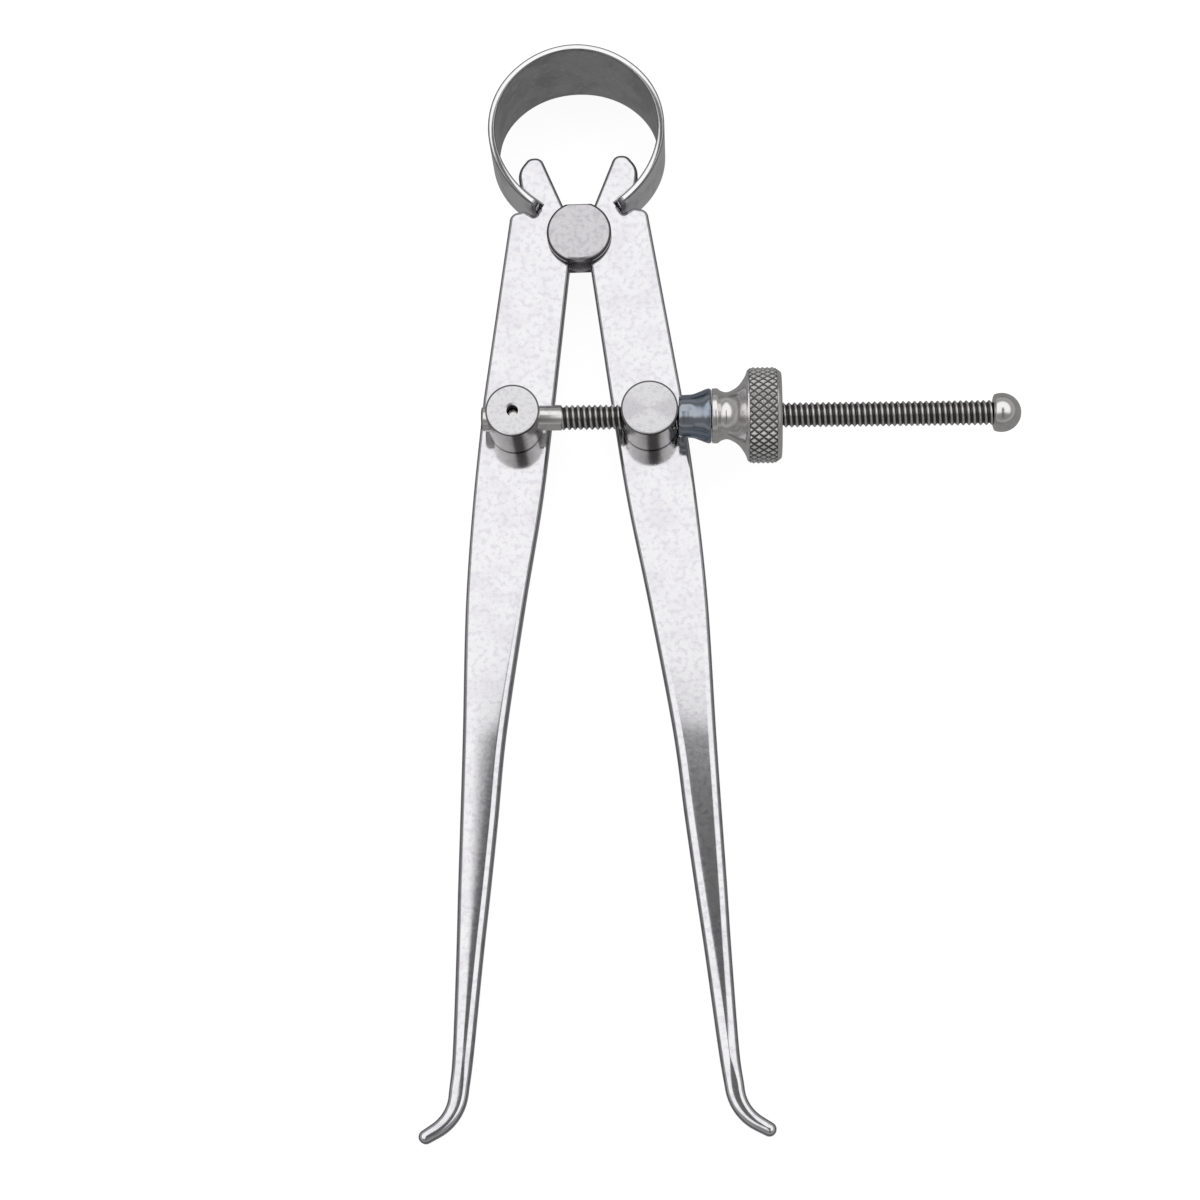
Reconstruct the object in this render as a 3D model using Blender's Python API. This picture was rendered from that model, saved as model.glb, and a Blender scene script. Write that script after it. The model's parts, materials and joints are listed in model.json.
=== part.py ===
"""Inside spring caliper: flat legs on a spool fulcrum, a bow spring, and a screw with a knurled nut.

The model's own frame has the legs' front faces in the XY plane, +Y towards the bow spring, +Z out of the
front faces, and the fulcrum's axis on Z. The screw runs along X, slanted a little by its play in the right
post. Everything hangs on one empty, which leans the caliper back about X, as it lies on the back edge of its
bow and on its two tips. The scene's origin is the middle of the fulcrum stud's front face.
"""

import math

import bmesh
import bpy
from mathutils import Matrix, Vector

MM = 0.001

# Clearances
SLIDE_GAP = 0.15 * MM  # between flat faces that slide on each other
TURN_GAP = 0.1 * MM  # round a pin or a screw in its hole
SEAT_GAP = 0.3 * MM  # between pieces that press on each other
CUT_PAST = 1.0 * MM  # how far a cutter runs past what it cuts

# Legs. Each row: distance below the fulcrum, inner edge and outer edge from the centre line
LEG_STATIONS = (
    (24.0 * MM, 3.9 * MM, 14.02 * MM),
    (39.0 * MM, 5.95 * MM, 15.68 * MM),
    (54.0 * MM, 8.6 * MM, 16.85 * MM),
    (72.0 * MM, 11.5 * MM, 17.45 * MM),
    (84.0 * MM, 12.8 * MM, 17.93 * MM),
    (94.0 * MM, 13.95 * MM, 18.35 * MM),
    (103.0 * MM, 15.05 * MM, 18.68 * MM),
    (116.0 * MM, 16.5 * MM, 19.3 * MM),
    (121.0 * MM, 17.2 * MM, 19.85 * MM),
)
TAPER_ROW = 3  # the station where the leg starts to thin
LEG_THICKNESS = 3.2 * MM
TIP_THICKNESS = 2.3 * MM
LEG_EDGE_ROUND = 0.4 * MM
TIP_EDGE_ROUND = 0.8 * MM
FOOT_STRAIGHT = 0.5 * MM  # below the last station, before the foot turns out
FOOT_BEND_RADIUS = 6.2 * MM
FOOT_START_ANGLE = math.radians(8)
FOOT_TURN_ANGLE = math.radians(60)
FOOT_LENGTH = 1.6 * MM  # after the bend
TIP_RADIUS = 0.95 * MM

# The head of a leg: its waist inside the fulcrum, its horn and its shoulder
WAIST = (0.8 * MM, 1.05 * MM)
HORN_INNER = (5.3 * MM, 12.1 * MM)
HORN_OUTER = (6.9 * MM, 11.9 * MM)
HORN_SIDE = (8.6 * MM, 9.7 * MM)
HORN_ROUND = 1.0 * MM
HORN_SIDE_ROUND = 1.9 * MM
SHOULDER_TOP = 4.0 * MM
SHOULDER_LEDGE = 2.0 * MM  # from the notch's lip to the shoulder's corner
SHOULDER_FALL = 0.4 * MM
SHOULDER_ROUND = 1.3 * MM
NOTCH_DEPTH = 0.5 * MM  # how far the notch runs on below the bow's end
NOTCH_LENGTH = 1.4 * MM

# Fulcrum stud
FLANGE_RADIUS = 4.62 * MM
FLANGE_THICKNESS = 1.1 * MM
FLANGE_FLAT = 4.05 * MM  # from the axis to each of its two flats
FLANGE_CHAMFER = 0.15 * MM
CORE_RADIUS = 2.55 * MM

# Bow spring
BOW_SEAT_HEIGHT = 4.185 * MM  # of the strip's two ends above the fulcrum
BOW_RADIUS = 12.6 * MM  # to the middle of the strip
BOW_TUCK = 1.55 * MM  # how far the strip's ends draw in from that radius
BOW_TUCK_START = math.radians(52)
BOW_END_ANGLE = math.radians(146.5)  # from the crown
BOW_THICKNESS = 1.0 * MM
BOW_CROWN_WIDTH = 16.4 * MM
BOW_END_WIDTH = 7.8 * MM
BOW_TAPER_POWER = 1.45  # 1 for a strip with straight tapers, more to keep it wide past the crown
BOW_EDGE_ROUND = 0.25 * MM
BOW_CORNER_ROUND = 0.8 * MM
HORN_HUG_ANGLE = math.radians(127)  # where the horn leaves the strip's inner face
BOW_CENTRE = BOW_SEAT_HEIGHT - (BOW_RADIUS - BOW_TUCK) * math.cos(BOW_END_ANGLE)

# Posts
POST_OUT = 9.5 * MM  # from the centre line
POST_DOWN = 28.5 * MM  # below the fulcrum
LEFT_POST_RADIUS = 3.75 * MM
LEFT_POST_HEIGHT = 8.2 * MM
RIGHT_POST_RADIUS = 3.97 * MM
RIGHT_POST_HEIGHT = 7.6 * MM
POST_CHAMFER = 0.15 * MM
JOURNAL_RADIUS = 2.0 * MM
RIVET_RADIUS = 2.8 * MM
RIVET_DEPTH = 0.9 * MM
RIVET_PROUD = 0.12 * MM
SLIP_GAP = 0.55 * MM  # round the screw in the right post
SCREW_SLANT = math.radians(-1.0)  # both posts turn on their legs by this, within the slip gap

# Screw
SCREW_HEIGHT = 4.5 * MM  # of its axis above the legs' front faces
SHANK_RADIUS = 1.78 * MM
SHANK_STUB = 0.75 * MM  # past the left post
SHANK_REACH = 3.0 * MM  # from the left post to the thread
SHANK_CHAMFER = 0.3 * MM
THREAD_PITCH = 0.794 * MM
THREAD_TURNS = 74
CREST_RADIUS = 1.75 * MM
ROOT_RADIUS = 1.43 * MM
PIN_RADIUS = 0.72 * MM
PIN_SUNK = 1.5 * MM  # below the left post's face
PIN_PAST = 1.0 * MM  # below the screw

# Thrust collar, nut and ball end
COLLAR_LENGTH = 4.05 * MM
COLLAR_NOSE_RADIUS = 2.95 * MM
COLLAR_CHAMFER = 0.16 * MM
# Shares of the collar's length, and how far it has swollen there: 0 at its nose, 1 at the nut's rim
COLLAR_SWELL = ((0.35, 0.1), (0.6, 0.45), (0.8, 0.85), (0.92, 1.0), (1.0, 0.75))
NUT_RIM_RADIUS = 3.82 * MM
NUT_RIM_WIDTH = 0.75 * MM
NUT_WAIST_RADIUS = 3.28 * MM
NUT_NECK_LENGTH = 5.45 * MM  # from the rim's face to the knurl
# Shares of the neck's length, and how far it has flared there: 0 at its waist, 1 at the knurl
NUT_FLARE = ((0.39, 0.0), (0.74, 0.27), (0.9, 0.62))
NUT_FLARE_END = 0.96
KNURL_RADIUS = 6.72 * MM
KNURL_DEPTH = 0.4 * MM
KNURL_LINES = 36
KNURL_ROWS = 6
KNURL_HALF_PITCH = 0.6 * MM
KNURL_RUNOUT = 0.2 * MM
NUT_END_CHAMFER = 0.65 * MM
BORE_CHAMFER = 0.3 * MM
BALL_RADIUS = 2.72 * MM
BALL_FLAT = 1.2 * MM  # from the ball's centre to its flat
BALL_EDGE_ROUND = 0.4 * MM
BALL_SOCKET_DEPTH = 2.6 * MM

# Facets
TURN_STEPS = 36
HOLE_STEPS = 32
THREAD_STEPS = 12
BOW_STEPS = 44
ROUND_STEPS = 3

# Colours, as red, green and blue, with metallic and roughness values
MATERIALS = {
    "satin_chrome": ((0.80, 0.79, 0.81), 1.0, 0.32),
    "spring_steel": ((0.42, 0.42, 0.43), 1.0, 0.38),
    "turned_steel": ((0.62, 0.61, 0.62), 1.0, 0.28),
    "screw_steel": ((0.45, 0.44, 0.43), 1.0, 0.30),
    "blued_steel": ((0.09, 0.11, 0.15), 1.0, 0.22),
    "bright_nickel": ((0.55, 0.54, 0.53), 1.0, 0.22),
}


def clear_scene():
    for obj in list(bpy.data.objects):
        bpy.data.objects.remove(obj)


def material(name):
    if name in bpy.data.materials:
        return bpy.data.materials[name]
    colour, metallic, roughness = MATERIALS[name]
    made = bpy.data.materials.new(name)
    made.use_nodes = True
    shader = made.node_tree.nodes["Principled BSDF"]
    shader.inputs["Base Color"].default_value = (*colour, 1.0)
    shader.inputs["Metallic"].default_value = metallic
    shader.inputs["Roughness"].default_value = roughness
    made.diffuse_color = (*colour, 1.0)
    return made


def add_object(name, bm, finish=None, parent=None, location=(0, 0, 0)):
    """Links the mesh as a named object, smooth on its round faces."""
    bmesh.ops.recalc_face_normals(bm, faces=bm.faces)
    mesh = bpy.data.meshes.new(name)
    bm.to_mesh(mesh)
    bm.free()
    mesh.shade_smooth()
    mesh.set_sharp_from_angle(angle=math.radians(32))
    obj = bpy.data.objects.new(name, mesh)
    bpy.context.scene.collection.objects.link(obj)
    if finish:
        mesh.materials.append(material(finish))
    obj.parent = parent
    obj.location = location
    return obj


def cut(obj, cutter):
    """Subtracts the cutter, which stays in the scene as a wire guide."""
    cutter.hide_render = True
    cutter.display_type = "WIRE"
    modifier = obj.modifiers.new(cutter.name, "BOOLEAN")
    modifier.operation = "DIFFERENCE"
    modifier.solver = "EXACT"
    modifier.object = cutter


def turned(profile, steps=TURN_STEPS, closed=False):
    """A mesh turned about Z from (radius, height) points. A closed profile makes a ring."""
    bm = bmesh.new()
    verts = [bm.verts.new((radius, 0, height)) for radius, height in profile]
    pairs = list(zip(verts, verts[1:]))
    if closed:
        pairs.append((verts[-1], verts[0]))
    edges = [bm.edges.new(pair) for pair in pairs]
    bmesh.ops.spin(
        bm,
        geom=verts + edges,
        cent=(0, 0, 0),
        axis=(0, 0, 1),
        angle=math.tau,
        steps=steps,
        use_merge=True,
    )
    bmesh.ops.remove_doubles(bm, verts=bm.verts, dist=0.0001 * MM)
    return bm


def along_x(bm):
    """Turns a mesh made about Z so that its axis is X."""
    bmesh.ops.rotate(bm, cent=(0, 0, 0), matrix=Matrix.Rotation(math.pi / 2, 3, "Y"), verts=bm.verts)
    return bm


def pin_cutter(name, radius, low, high, parent, location=(0, 0, 0), lying=False):
    """A drill of that radius along the parent's Z, or lying along its X."""
    bm = turned([(0, low), (radius, low), (radius, high), (0, high)], HOLE_STEPS)
    if lying:
        along_x(bm)
    return add_object(name, bm, parent=parent, location=location)


def blend(low, high, share):
    return low + (high - low) * share


def smoothstep(value):
    share = min(max(value, 0.0), 1.0)
    return share * share * (3 - 2 * share)


def curve_through(points, per_span):
    """A Catmull-Rom curve through the points, ends included."""
    padded = [2 * points[0] - points[1], *points, 2 * points[-1] - points[-2]]
    curve = []
    for a, b, c, d in zip(padded, padded[1:], padded[2:], padded[3:]):
        bend = 2 * a - 5 * b + 4 * c - d
        twist = 3 * b - a - 3 * c + d
        for step in range(per_span):
            t = step / per_span
            curve.append(0.5 * (2 * b + (c - a) * t + bend * t**2 + twist * t**3))
    return [*curve, points[-1]]


def rounded_corner(before, corner, after, radius, steps=4):
    """The corner's fillet, as points from the first tangent point to the last."""
    to_before = (before - corner).normalized()
    to_after = (after - corner).normalized()
    half = to_before.angle(to_after) / 2
    start = corner + to_before * radius / math.tan(half)
    end = corner + to_after * radius / math.tan(half)
    centre = corner + (to_before + to_after).normalized() * radius / math.sin(half)
    arm = start - centre
    turn = arm.angle_signed(end - centre)
    return [centre + Matrix.Rotation(-turn * step / steps, 2) @ arm for step in range(steps + 1)]


# Bow spring


def bow_radius(angle):
    """Radius of the strip's middle, at an angle from the crown."""
    share = (abs(angle) - BOW_TUCK_START) / (BOW_END_ANGLE - BOW_TUCK_START)
    return BOW_RADIUS - BOW_TUCK * smoothstep(share)


def bow_point(angle, outwards=0.0):
    """A point of the strip's middle in the XY plane, or of a line that far outside it."""
    radius = bow_radius(angle) + outwards
    return Vector((radius * math.sin(angle), BOW_CENTRE + radius * math.cos(angle)))


def bow_half_width(angle):
    """The strip narrows from the crown to its ends, and each end has rounded corners."""
    share = min(abs(angle) / BOW_END_ANGLE, 1.0) ** BOW_TAPER_POWER
    half = blend(BOW_CROWN_WIDTH, BOW_END_WIDTH, share) / 2
    to_end = (BOW_END_ANGLE - abs(angle)) * bow_radius(angle)
    short = max(BOW_CORNER_ROUND - to_end, 0.0)
    return half - BOW_CORNER_ROUND + math.sqrt(BOW_CORNER_ROUND**2 - short**2)


def bow_angles():
    """Even steps round the strip, with closer ones round the corners of its ends."""
    corner = BOW_CORNER_ROUND / bow_radius(BOW_END_ANGLE)
    ends = [BOW_END_ANGLE - corner * (1 - math.cos(math.pi / 2 * k / 3)) for k in range(3)]
    reach = BOW_END_ANGLE - corner
    middle = [reach - 2 * reach * k / BOW_STEPS for k in range(BOW_STEPS + 1)]
    return [*ends, *middle, *(-angle for angle in reversed(ends))]


def bow_section(angle):
    """Points round the strip's section, with all four edges rounded."""
    half_width = bow_half_width(angle)
    centre = bow_point(angle)
    out = Vector((math.sin(angle), math.cos(angle)))
    half_wall = BOW_THICKNESS / 2
    corners = ((1, 1, 0), (-1, 1, 90), (-1, -1, 180), (1, -1, 270))
    points = []
    for side, face, start in corners:
        for step in range(ROUND_STEPS):
            turn = math.radians(start + 90 * step / (ROUND_STEPS - 1))
            across = side * (half_wall - BOW_EDGE_ROUND) + BOW_EDGE_ROUND * math.cos(turn)
            along = face * (half_width - BOW_EDGE_ROUND) + BOW_EDGE_ROUND * math.sin(turn)
            spot = centre + out * across
            points.append((spot.x, spot.y, along - LEG_THICKNESS / 2))
    return points


def make_bow_spring(parent):
    bm = bmesh.new()
    rings = [[bm.verts.new(point) for point in bow_section(angle)] for angle in bow_angles()]
    for ring, following in zip(rings, rings[1:]):
        join_rings(bm, ring, following)
    bm.faces.new(rings[0])
    bm.faces.new(rings[-1])
    return add_object("bow_spring", bm, "spring_steel", parent)


def join_rings(bm, ring, following):
    """Faces between two rings, where the second has as many points or twice as many."""
    count = len(ring)
    for k in range(count):
        after = (k + 1) % count
        if len(following) == count:
            bm.faces.new((ring[k], ring[after], following[after], following[k]))
        else:
            twice = [following[2 * k], following[2 * k + 1], following[2 * after]]
            bm.faces.new((ring[k], twice[1], twice[0]))
            bm.faces.new((ring[k], ring[after], twice[1]))
            bm.faces.new((ring[after], twice[2], twice[1]))


# Legs


def taper_share(down):
    """0 where the leg is full thickness, 1 at its last station and on its foot."""
    start = LEG_STATIONS[TAPER_ROW][0]
    return min(max((down - start) / (LEG_STATIONS[-1][0] - start), 0.0), 1.0)


def foot_sides():
    """The inner and outer edges of the turned-out foot, from the last station to the tip's round end."""
    down, inner, outer = LEG_STATIONS[-1]
    place = Vector(((inner + outer) / 2, -down))
    half_width = (outer - inner) / 2
    heading = FOOT_START_ANGLE
    turn = FOOT_TURN_ANGLE - FOOT_START_ANGLE
    bend_steps = 5
    moves = [(FOOT_STRAIGHT, 0.0)]
    moves += [(FOOT_BEND_RADIUS * turn / bend_steps, turn / bend_steps)] * bend_steps
    moves += [(FOOT_LENGTH, 0.0)]
    length = sum(move for move, _ in moves)
    gone = 0.0
    inner_side, outer_side = [], []
    for move, turned_by in moves:
        heading += turned_by / 2
        place = place + move * Vector((math.sin(heading), -math.cos(heading)))
        heading += turned_by / 2
        gone += move
        half = blend(half_width, TIP_RADIUS, gone / length)
        across = half * Vector((math.cos(heading), math.sin(heading)))
        inner_side.append(place - across)
        outer_side.append(place + across)
    end_steps = 6
    tip = []
    for step in range(1, end_steps):
        turn = heading - math.pi + math.pi * step / end_steps
        tip.append(place + TIP_RADIUS * Vector((math.cos(turn), math.sin(turn))))
    return inner_side, tip, outer_side


def foot_drop():
    """How far the middle of the tip's round end lies below the last station."""
    bend = FOOT_BEND_RADIUS * (math.sin(FOOT_TURN_ANGLE) - math.sin(FOOT_START_ANGLE))
    return FOOT_STRAIGHT * math.cos(FOOT_START_ANGLE) + bend + FOOT_LENGTH * math.cos(FOOT_TURN_ANGLE)


def notch_points():
    """The notch's lip, bottom and top corner. The bow's end seats on the wall between the last two."""
    end = BOW_END_ANGLE
    forward = Vector((math.cos(end), -math.sin(end)))
    top = bow_point(end, -BOW_THICKNESS / 2 - SEAT_GAP) + forward * SEAT_GAP
    outside = bow_point(end, BOW_THICKNESS / 2 + NOTCH_DEPTH)
    bottom = outside + forward * SEAT_GAP
    lip = Vector(((outside - forward * NOTCH_LENGTH).x, SHOULDER_TOP))
    return lip, bottom, top


def head_outline():
    """The head of the right leg from its shoulder, over its notch and horn, to its waist."""
    lip, bottom, top = notch_points()
    down, _, outer = LEG_STATIONS[0]
    first = Vector((outer, -down))
    shoulder = lip + Vector((SHOULDER_LEDGE, -SHOULDER_FALL))
    hug = [blend(BOW_END_ANGLE, HORN_HUG_ANGLE, k / 4) for k in range(5)]
    hug_points = [bow_point(angle, -BOW_THICKNESS / 2 - SEAT_GAP) for angle in hug]
    side = Vector(HORN_SIDE)
    horn_out = Vector(HORN_OUTER)
    horn_in = Vector(HORN_INNER)
    waist = Vector(WAIST)
    points = []
    points += rounded_corner(first, shoulder, lip, SHOULDER_ROUND, 5)
    points += [lip, bottom, top]
    points += hug_points
    points += rounded_corner(hug_points[-1], side, horn_out, HORN_SIDE_ROUND, 3)
    points += rounded_corner(side, horn_out, horn_in, HORN_ROUND, 3)
    points += rounded_corner(horn_out, horn_in, waist, HORN_ROUND, 4)
    points.append(waist)
    return points


def leg_outline():
    """The right leg's outline, anticlockwise, as its part above the taper's start and its part below."""
    outer = [Vector((row[2], -row[0])) for row in LEG_STATIONS]
    inner = [Vector((row[1], -row[0])) for row in LEG_STATIONS]
    per_span = 3
    split = TAPER_ROW * per_span
    outer_curve = curve_through(outer, per_span)
    inner_curve = curve_through(inner, per_span)
    foot_inner, tip, foot_outer = foot_sides()
    above = [*reversed(outer_curve[: split + 1]), *head_outline(), *inner_curve[: split + 1]]
    foot = [*foot_inner, *tip, *reversed(foot_outer)]
    below = [*inner_curve[split + 1 :], *foot, *reversed(outer_curve[split + 1 :])]
    return above, below


def inward_normals(outline):
    """At each point, the way into the leg, long enough to keep a slanted edge's offset even."""
    normals = []
    for before, here, after in zip([outline[-1], *outline], outline, [*outline[1:], outline[0]]):
        first = (here - before).normalized()
        second = (after - here).normalized()
        middle = (first + second).normalized()
        reach = 1 / max(middle.dot(first), 0.6)
        normals.append(Vector((-middle.y, middle.x)) * reach)
    return normals


def leg_mesh():
    """The right leg before its cuts: a plate whose edges are rounded, more so towards the tip."""
    above, below = leg_outline()
    outline = above + below
    normals = inward_normals(outline)
    bm = bmesh.new()
    rings = []
    sides = [(-1, k) for k in reversed(range(ROUND_STEPS))] + [(1, k) for k in range(ROUND_STEPS)]
    for side, step in sides:
        turn = math.pi / 2 * step / (ROUND_STEPS - 1)
        ring = []
        for point, normal in zip(outline, normals):
            share = taper_share(-point.y)
            edge_round = blend(LEG_EDGE_ROUND, TIP_EDGE_ROUND, share)
            half = blend(LEG_THICKNESS, TIP_THICKNESS, share) / 2
            spot = point + normal * edge_round * (1 - math.cos(turn))
            height = side * (half - edge_round + edge_round * math.sin(turn))
            ring.append(bm.verts.new((spot.x, spot.y, height - LEG_THICKNESS / 2)))
        rings.append(ring)
    for ring, following in zip(rings, rings[1:]):
        join_rings(bm, ring, following)
    last_above = len(above) - 1
    for ring in (rings[0], rings[-1]):
        bm.faces.new(ring[: last_above + 1])
        bm.faces.new([*ring[last_above:], ring[0]])
    return bm


def make_leg(name, side, parent):
    """side is 1 for the right leg and -1 for the left one, its mirror image."""
    bm = leg_mesh()
    for vert in bm.verts:
        vert.co.x *= side
    leg = add_object(name, bm, "satin_chrome", parent)
    back = -LEG_THICKNESS
    seat = CORE_RADIUS + TURN_GAP
    cut(leg, pin_cutter(name + "_seat_cutter", seat, back - CUT_PAST, CUT_PAST, parent))
    hole = JOURNAL_RADIUS + TURN_GAP
    flare = RIVET_RADIUS + TURN_GAP
    profile = [
        (0, CUT_PAST),
        (hole, CUT_PAST),
        (hole, back + RIVET_DEPTH + TURN_GAP),
        (flare, back),
        (flare, back - CUT_PAST),
        (0, back - CUT_PAST),
    ]
    hole_cutter = add_object(name + "_hole_cutter", turned(profile, HOLE_STEPS), parent=parent)
    hole_cutter.location = (side * POST_OUT, -POST_DOWN, 0)
    cut(leg, hole_cutter)
    return leg


# Fulcrum and posts


def make_fulcrum_stud(parent):
    """A spool whose two flanges hold the legs, with a flat across the top and the bottom of each."""
    front = SLIDE_GAP + FLANGE_THICKNESS
    back = -LEG_THICKNESS - SLIDE_GAP - FLANGE_THICKNESS
    profile = [
        (0, front),
        (FLANGE_RADIUS - FLANGE_CHAMFER, front),
        (FLANGE_RADIUS, front - FLANGE_CHAMFER),
        (FLANGE_RADIUS, SLIDE_GAP),
        (CORE_RADIUS, SLIDE_GAP),
        (CORE_RADIUS, -LEG_THICKNESS - SLIDE_GAP),
        (FLANGE_RADIUS, -LEG_THICKNESS - SLIDE_GAP),
        (FLANGE_RADIUS, back + FLANGE_CHAMFER),
        (FLANGE_RADIUS - FLANGE_CHAMFER, back),
        (0, back),
    ]
    bm = turned(profile, 48)
    for side in (1, -1):
        everything = [*bm.verts, *bm.edges, *bm.faces]
        sliced = bmesh.ops.bisect_plane(
            bm, geom=everything, plane_co=(0, side * FLANGE_FLAT, 0), plane_no=(0, side, 0), clear_outer=True
        )
        rim = [edge for edge in sliced["geom_cut"] if isinstance(edge, bmesh.types.BMEdge)]
        bmesh.ops.holes_fill(bm, edges=rim, sides=0)
    return add_object("fulcrum_stud", bm, "satin_chrome", parent)


def make_post(name, side, radius, height, hole_radius, leg):
    """A turned post: its body on the leg, its journal through the leg and its riveted end at the back."""
    back = -LEG_THICKNESS
    profile = [
        (0, height),
        (radius - POST_CHAMFER, height),
        (radius, height - POST_CHAMFER),
        (radius, SLIDE_GAP),
        (JOURNAL_RADIUS, SLIDE_GAP),
        (JOURNAL_RADIUS, back + RIVET_DEPTH),
        (RIVET_RADIUS, back),
        (RIVET_RADIUS - RIVET_PROUD, back - RIVET_PROUD),
        (0, back - RIVET_PROUD),
    ]
    post = add_object(name, turned(profile), "turned_steel", leg, (side * POST_OUT, -POST_DOWN, 0))
    post.rotation_euler.z = SCREW_SLANT
    reach = radius + CUT_PAST
    at = (0, 0, SCREW_HEIGHT)
    cut(post, pin_cutter(name + "_cross_cutter", hole_radius, -reach, reach, post, at, lying=True))
    return post


def make_lock_pin(left_post, screw):
    """The pin through the left post and the screw's shank, and the hole that it sits in."""
    bottom = SCREW_HEIGHT - SHANK_RADIUS - PIN_PAST
    top = LEFT_POST_HEIGHT - PIN_SUNK
    hole = PIN_RADIUS + TURN_GAP
    mouth = LEFT_POST_HEIGHT + CUT_PAST
    cut(left_post, pin_cutter("pin_hole_cutter", hole, bottom - SLIDE_GAP, mouth, left_post))
    reach = SHANK_RADIUS + CUT_PAST
    cut(screw, pin_cutter("shank_hole_cutter", hole, -reach, reach, screw))
    bm = turned([(0, bottom), (PIN_RADIUS, bottom), (PIN_RADIUS, top), (0, top)], 16)
    return add_object("screw_lock_pin", bm, "screw_steel", left_post)


# Screw


def ring_of(bm, radius, along, steps):
    """A circle of points about X, at a place along it."""
    angles = [math.tau * k / steps for k in range(steps)]
    return [bm.verts.new((along, radius * math.cos(a), radius * math.sin(a))) for a in angles]


def thread_start():
    """Where the thread starts, from the left post's axis."""
    return LEFT_POST_RADIUS + SHANK_REACH


def thread_end():
    return thread_start() + SHANK_RADIUS - ROOT_RADIUS + (THREAD_TURNS + 1) * THREAD_PITCH


def add_thread(bm, first_ring, start):
    """A V thread that rises over its first turn and runs out over its last. Returns its flat end ring."""
    steps = THREAD_STEPS
    total = THREAD_TURNS * steps

    def spot(step, shift, radius):
        angle = math.tau * step / steps
        along = start + THREAD_PITCH * (step / steps + shift)
        return bm.verts.new((along, radius * math.cos(angle), radius * math.sin(angle)))

    roots = [spot(step, 0.0, ROOT_RADIUS) for step in range(total + steps + 1)]
    crests = []
    for step in range(total + 1):
        rise = min(step / steps, (total - step) / steps, 1.0)
        crests.append(spot(step, 0.5, blend(ROOT_RADIUS, CREST_RADIUS, rise)))
    for step in range(total):
        bm.faces.new((roots[step], roots[step + 1], crests[step + 1], crests[step]))
        bm.faces.new((crests[step], crests[step + 1], roots[step + steps + 1], roots[step + steps]))
    for k in range(steps - 1):
        bm.faces.new((first_ring[k], first_ring[k + 1], roots[k + 1], roots[k]))
    bm.faces.new((first_ring[-1], first_ring[0], roots[0], crests[0], roots[steps], roots[steps - 1]))
    last_ring = ring_of(bm, ROOT_RADIUS, start + THREAD_PITCH * (THREAD_TURNS + 1), steps)
    bm.verts.remove(last_ring[0])
    last_ring[0] = roots[total + steps]
    bm.faces.new((roots[total], roots[total + 1], last_ring[1], last_ring[0], crests[total]))
    for k in range(1, steps - 1):
        bm.faces.new((roots[total + k], roots[total + k + 1], last_ring[k + 1], last_ring[k]))
    bm.faces.new((roots[total + steps - 1], last_ring[0], last_ring[-1]))
    return last_ring


def make_adjusting_screw(left_post):
    """A shank held in the left post, and a thread that ends in the ball's socket."""
    bm = bmesh.new()
    low = -LEFT_POST_RADIUS - SHANK_STUB
    shank_end = thread_start()
    neck = shank_end + SHANK_RADIUS - ROOT_RADIUS
    steps = THREAD_STEPS
    rings = [
        ring_of(bm, SHANK_RADIUS - SHANK_CHAMFER, low, 2 * steps),
        ring_of(bm, SHANK_RADIUS, low + SHANK_CHAMFER, 2 * steps),
        ring_of(bm, SHANK_RADIUS, shank_end, 2 * steps),
    ]
    bm.faces.new(rings[0])
    for ring, following in zip(rings, rings[1:]):
        join_rings(bm, ring, following)
    neck_ring = ring_of(bm, ROOT_RADIUS, neck - THREAD_PITCH / 2, steps)
    join_rings(bm, neck_ring, rings[-1])
    last_ring = add_thread(bm, neck_ring, neck)
    spigot_end = thread_end() + BALL_SOCKET_DEPTH - SEAT_GAP
    spigot = ring_of(bm, ROOT_RADIUS, spigot_end, steps)
    join_rings(bm, last_ring, spigot)
    bm.faces.new(spigot)
    return add_object("adjusting_screw", bm, "screw_steel", left_post, (0, 0, SCREW_HEIGHT))


def make_end_button(screw):
    """The ball riveted on the screw's end, with a flat towards the nut and a blind socket for the screw."""
    socket = ROOT_RADIUS + TURN_GAP
    rim_angle = math.pi - math.acos(BALL_FLAT / BALL_RADIUS)
    flat_radius = BALL_RADIUS * math.sin(rim_angle) - BALL_EDGE_ROUND
    first = rim_angle - BALL_EDGE_ROUND / BALL_RADIUS
    arc_steps = 11
    profile = [(0, BALL_SOCKET_DEPTH), (socket, BALL_SOCKET_DEPTH), (socket, 0), (flat_radius, 0)]
    for step in range(arc_steps):
        angle = first * (1 - step / arc_steps)
        profile.append((BALL_RADIUS * math.sin(angle), BALL_FLAT + BALL_RADIUS * math.cos(angle)))
    profile.append((0, BALL_FLAT + BALL_RADIUS))
    bm = along_x(turned(profile))
    return add_object("end_button", bm, "bright_nickel", screw, (thread_end(), 0, 0))


def make_thrust_collar(screw):
    """The sleeve that carries the nut's push to the right post, swelling from its nose to the nut's rim."""
    bore = CREST_RADIUS + TURN_GAP
    nose = COLLAR_NOSE_RADIUS
    profile = [(bore, 0), (nose - COLLAR_CHAMFER, 0), (nose, COLLAR_CHAMFER)]
    profile += [(blend(nose, NUT_RIM_RADIUS, swell), share * COLLAR_LENGTH) for share, swell in COLLAR_SWELL]
    profile += [(bore, COLLAR_LENGTH)]
    bm = along_x(turned(profile, closed=True))
    at = 2 * POST_OUT + RIGHT_POST_RADIUS + SEAT_GAP
    return add_object("thrust_collar", bm, "blued_steel", screw, (at, 0, 0))


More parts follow.
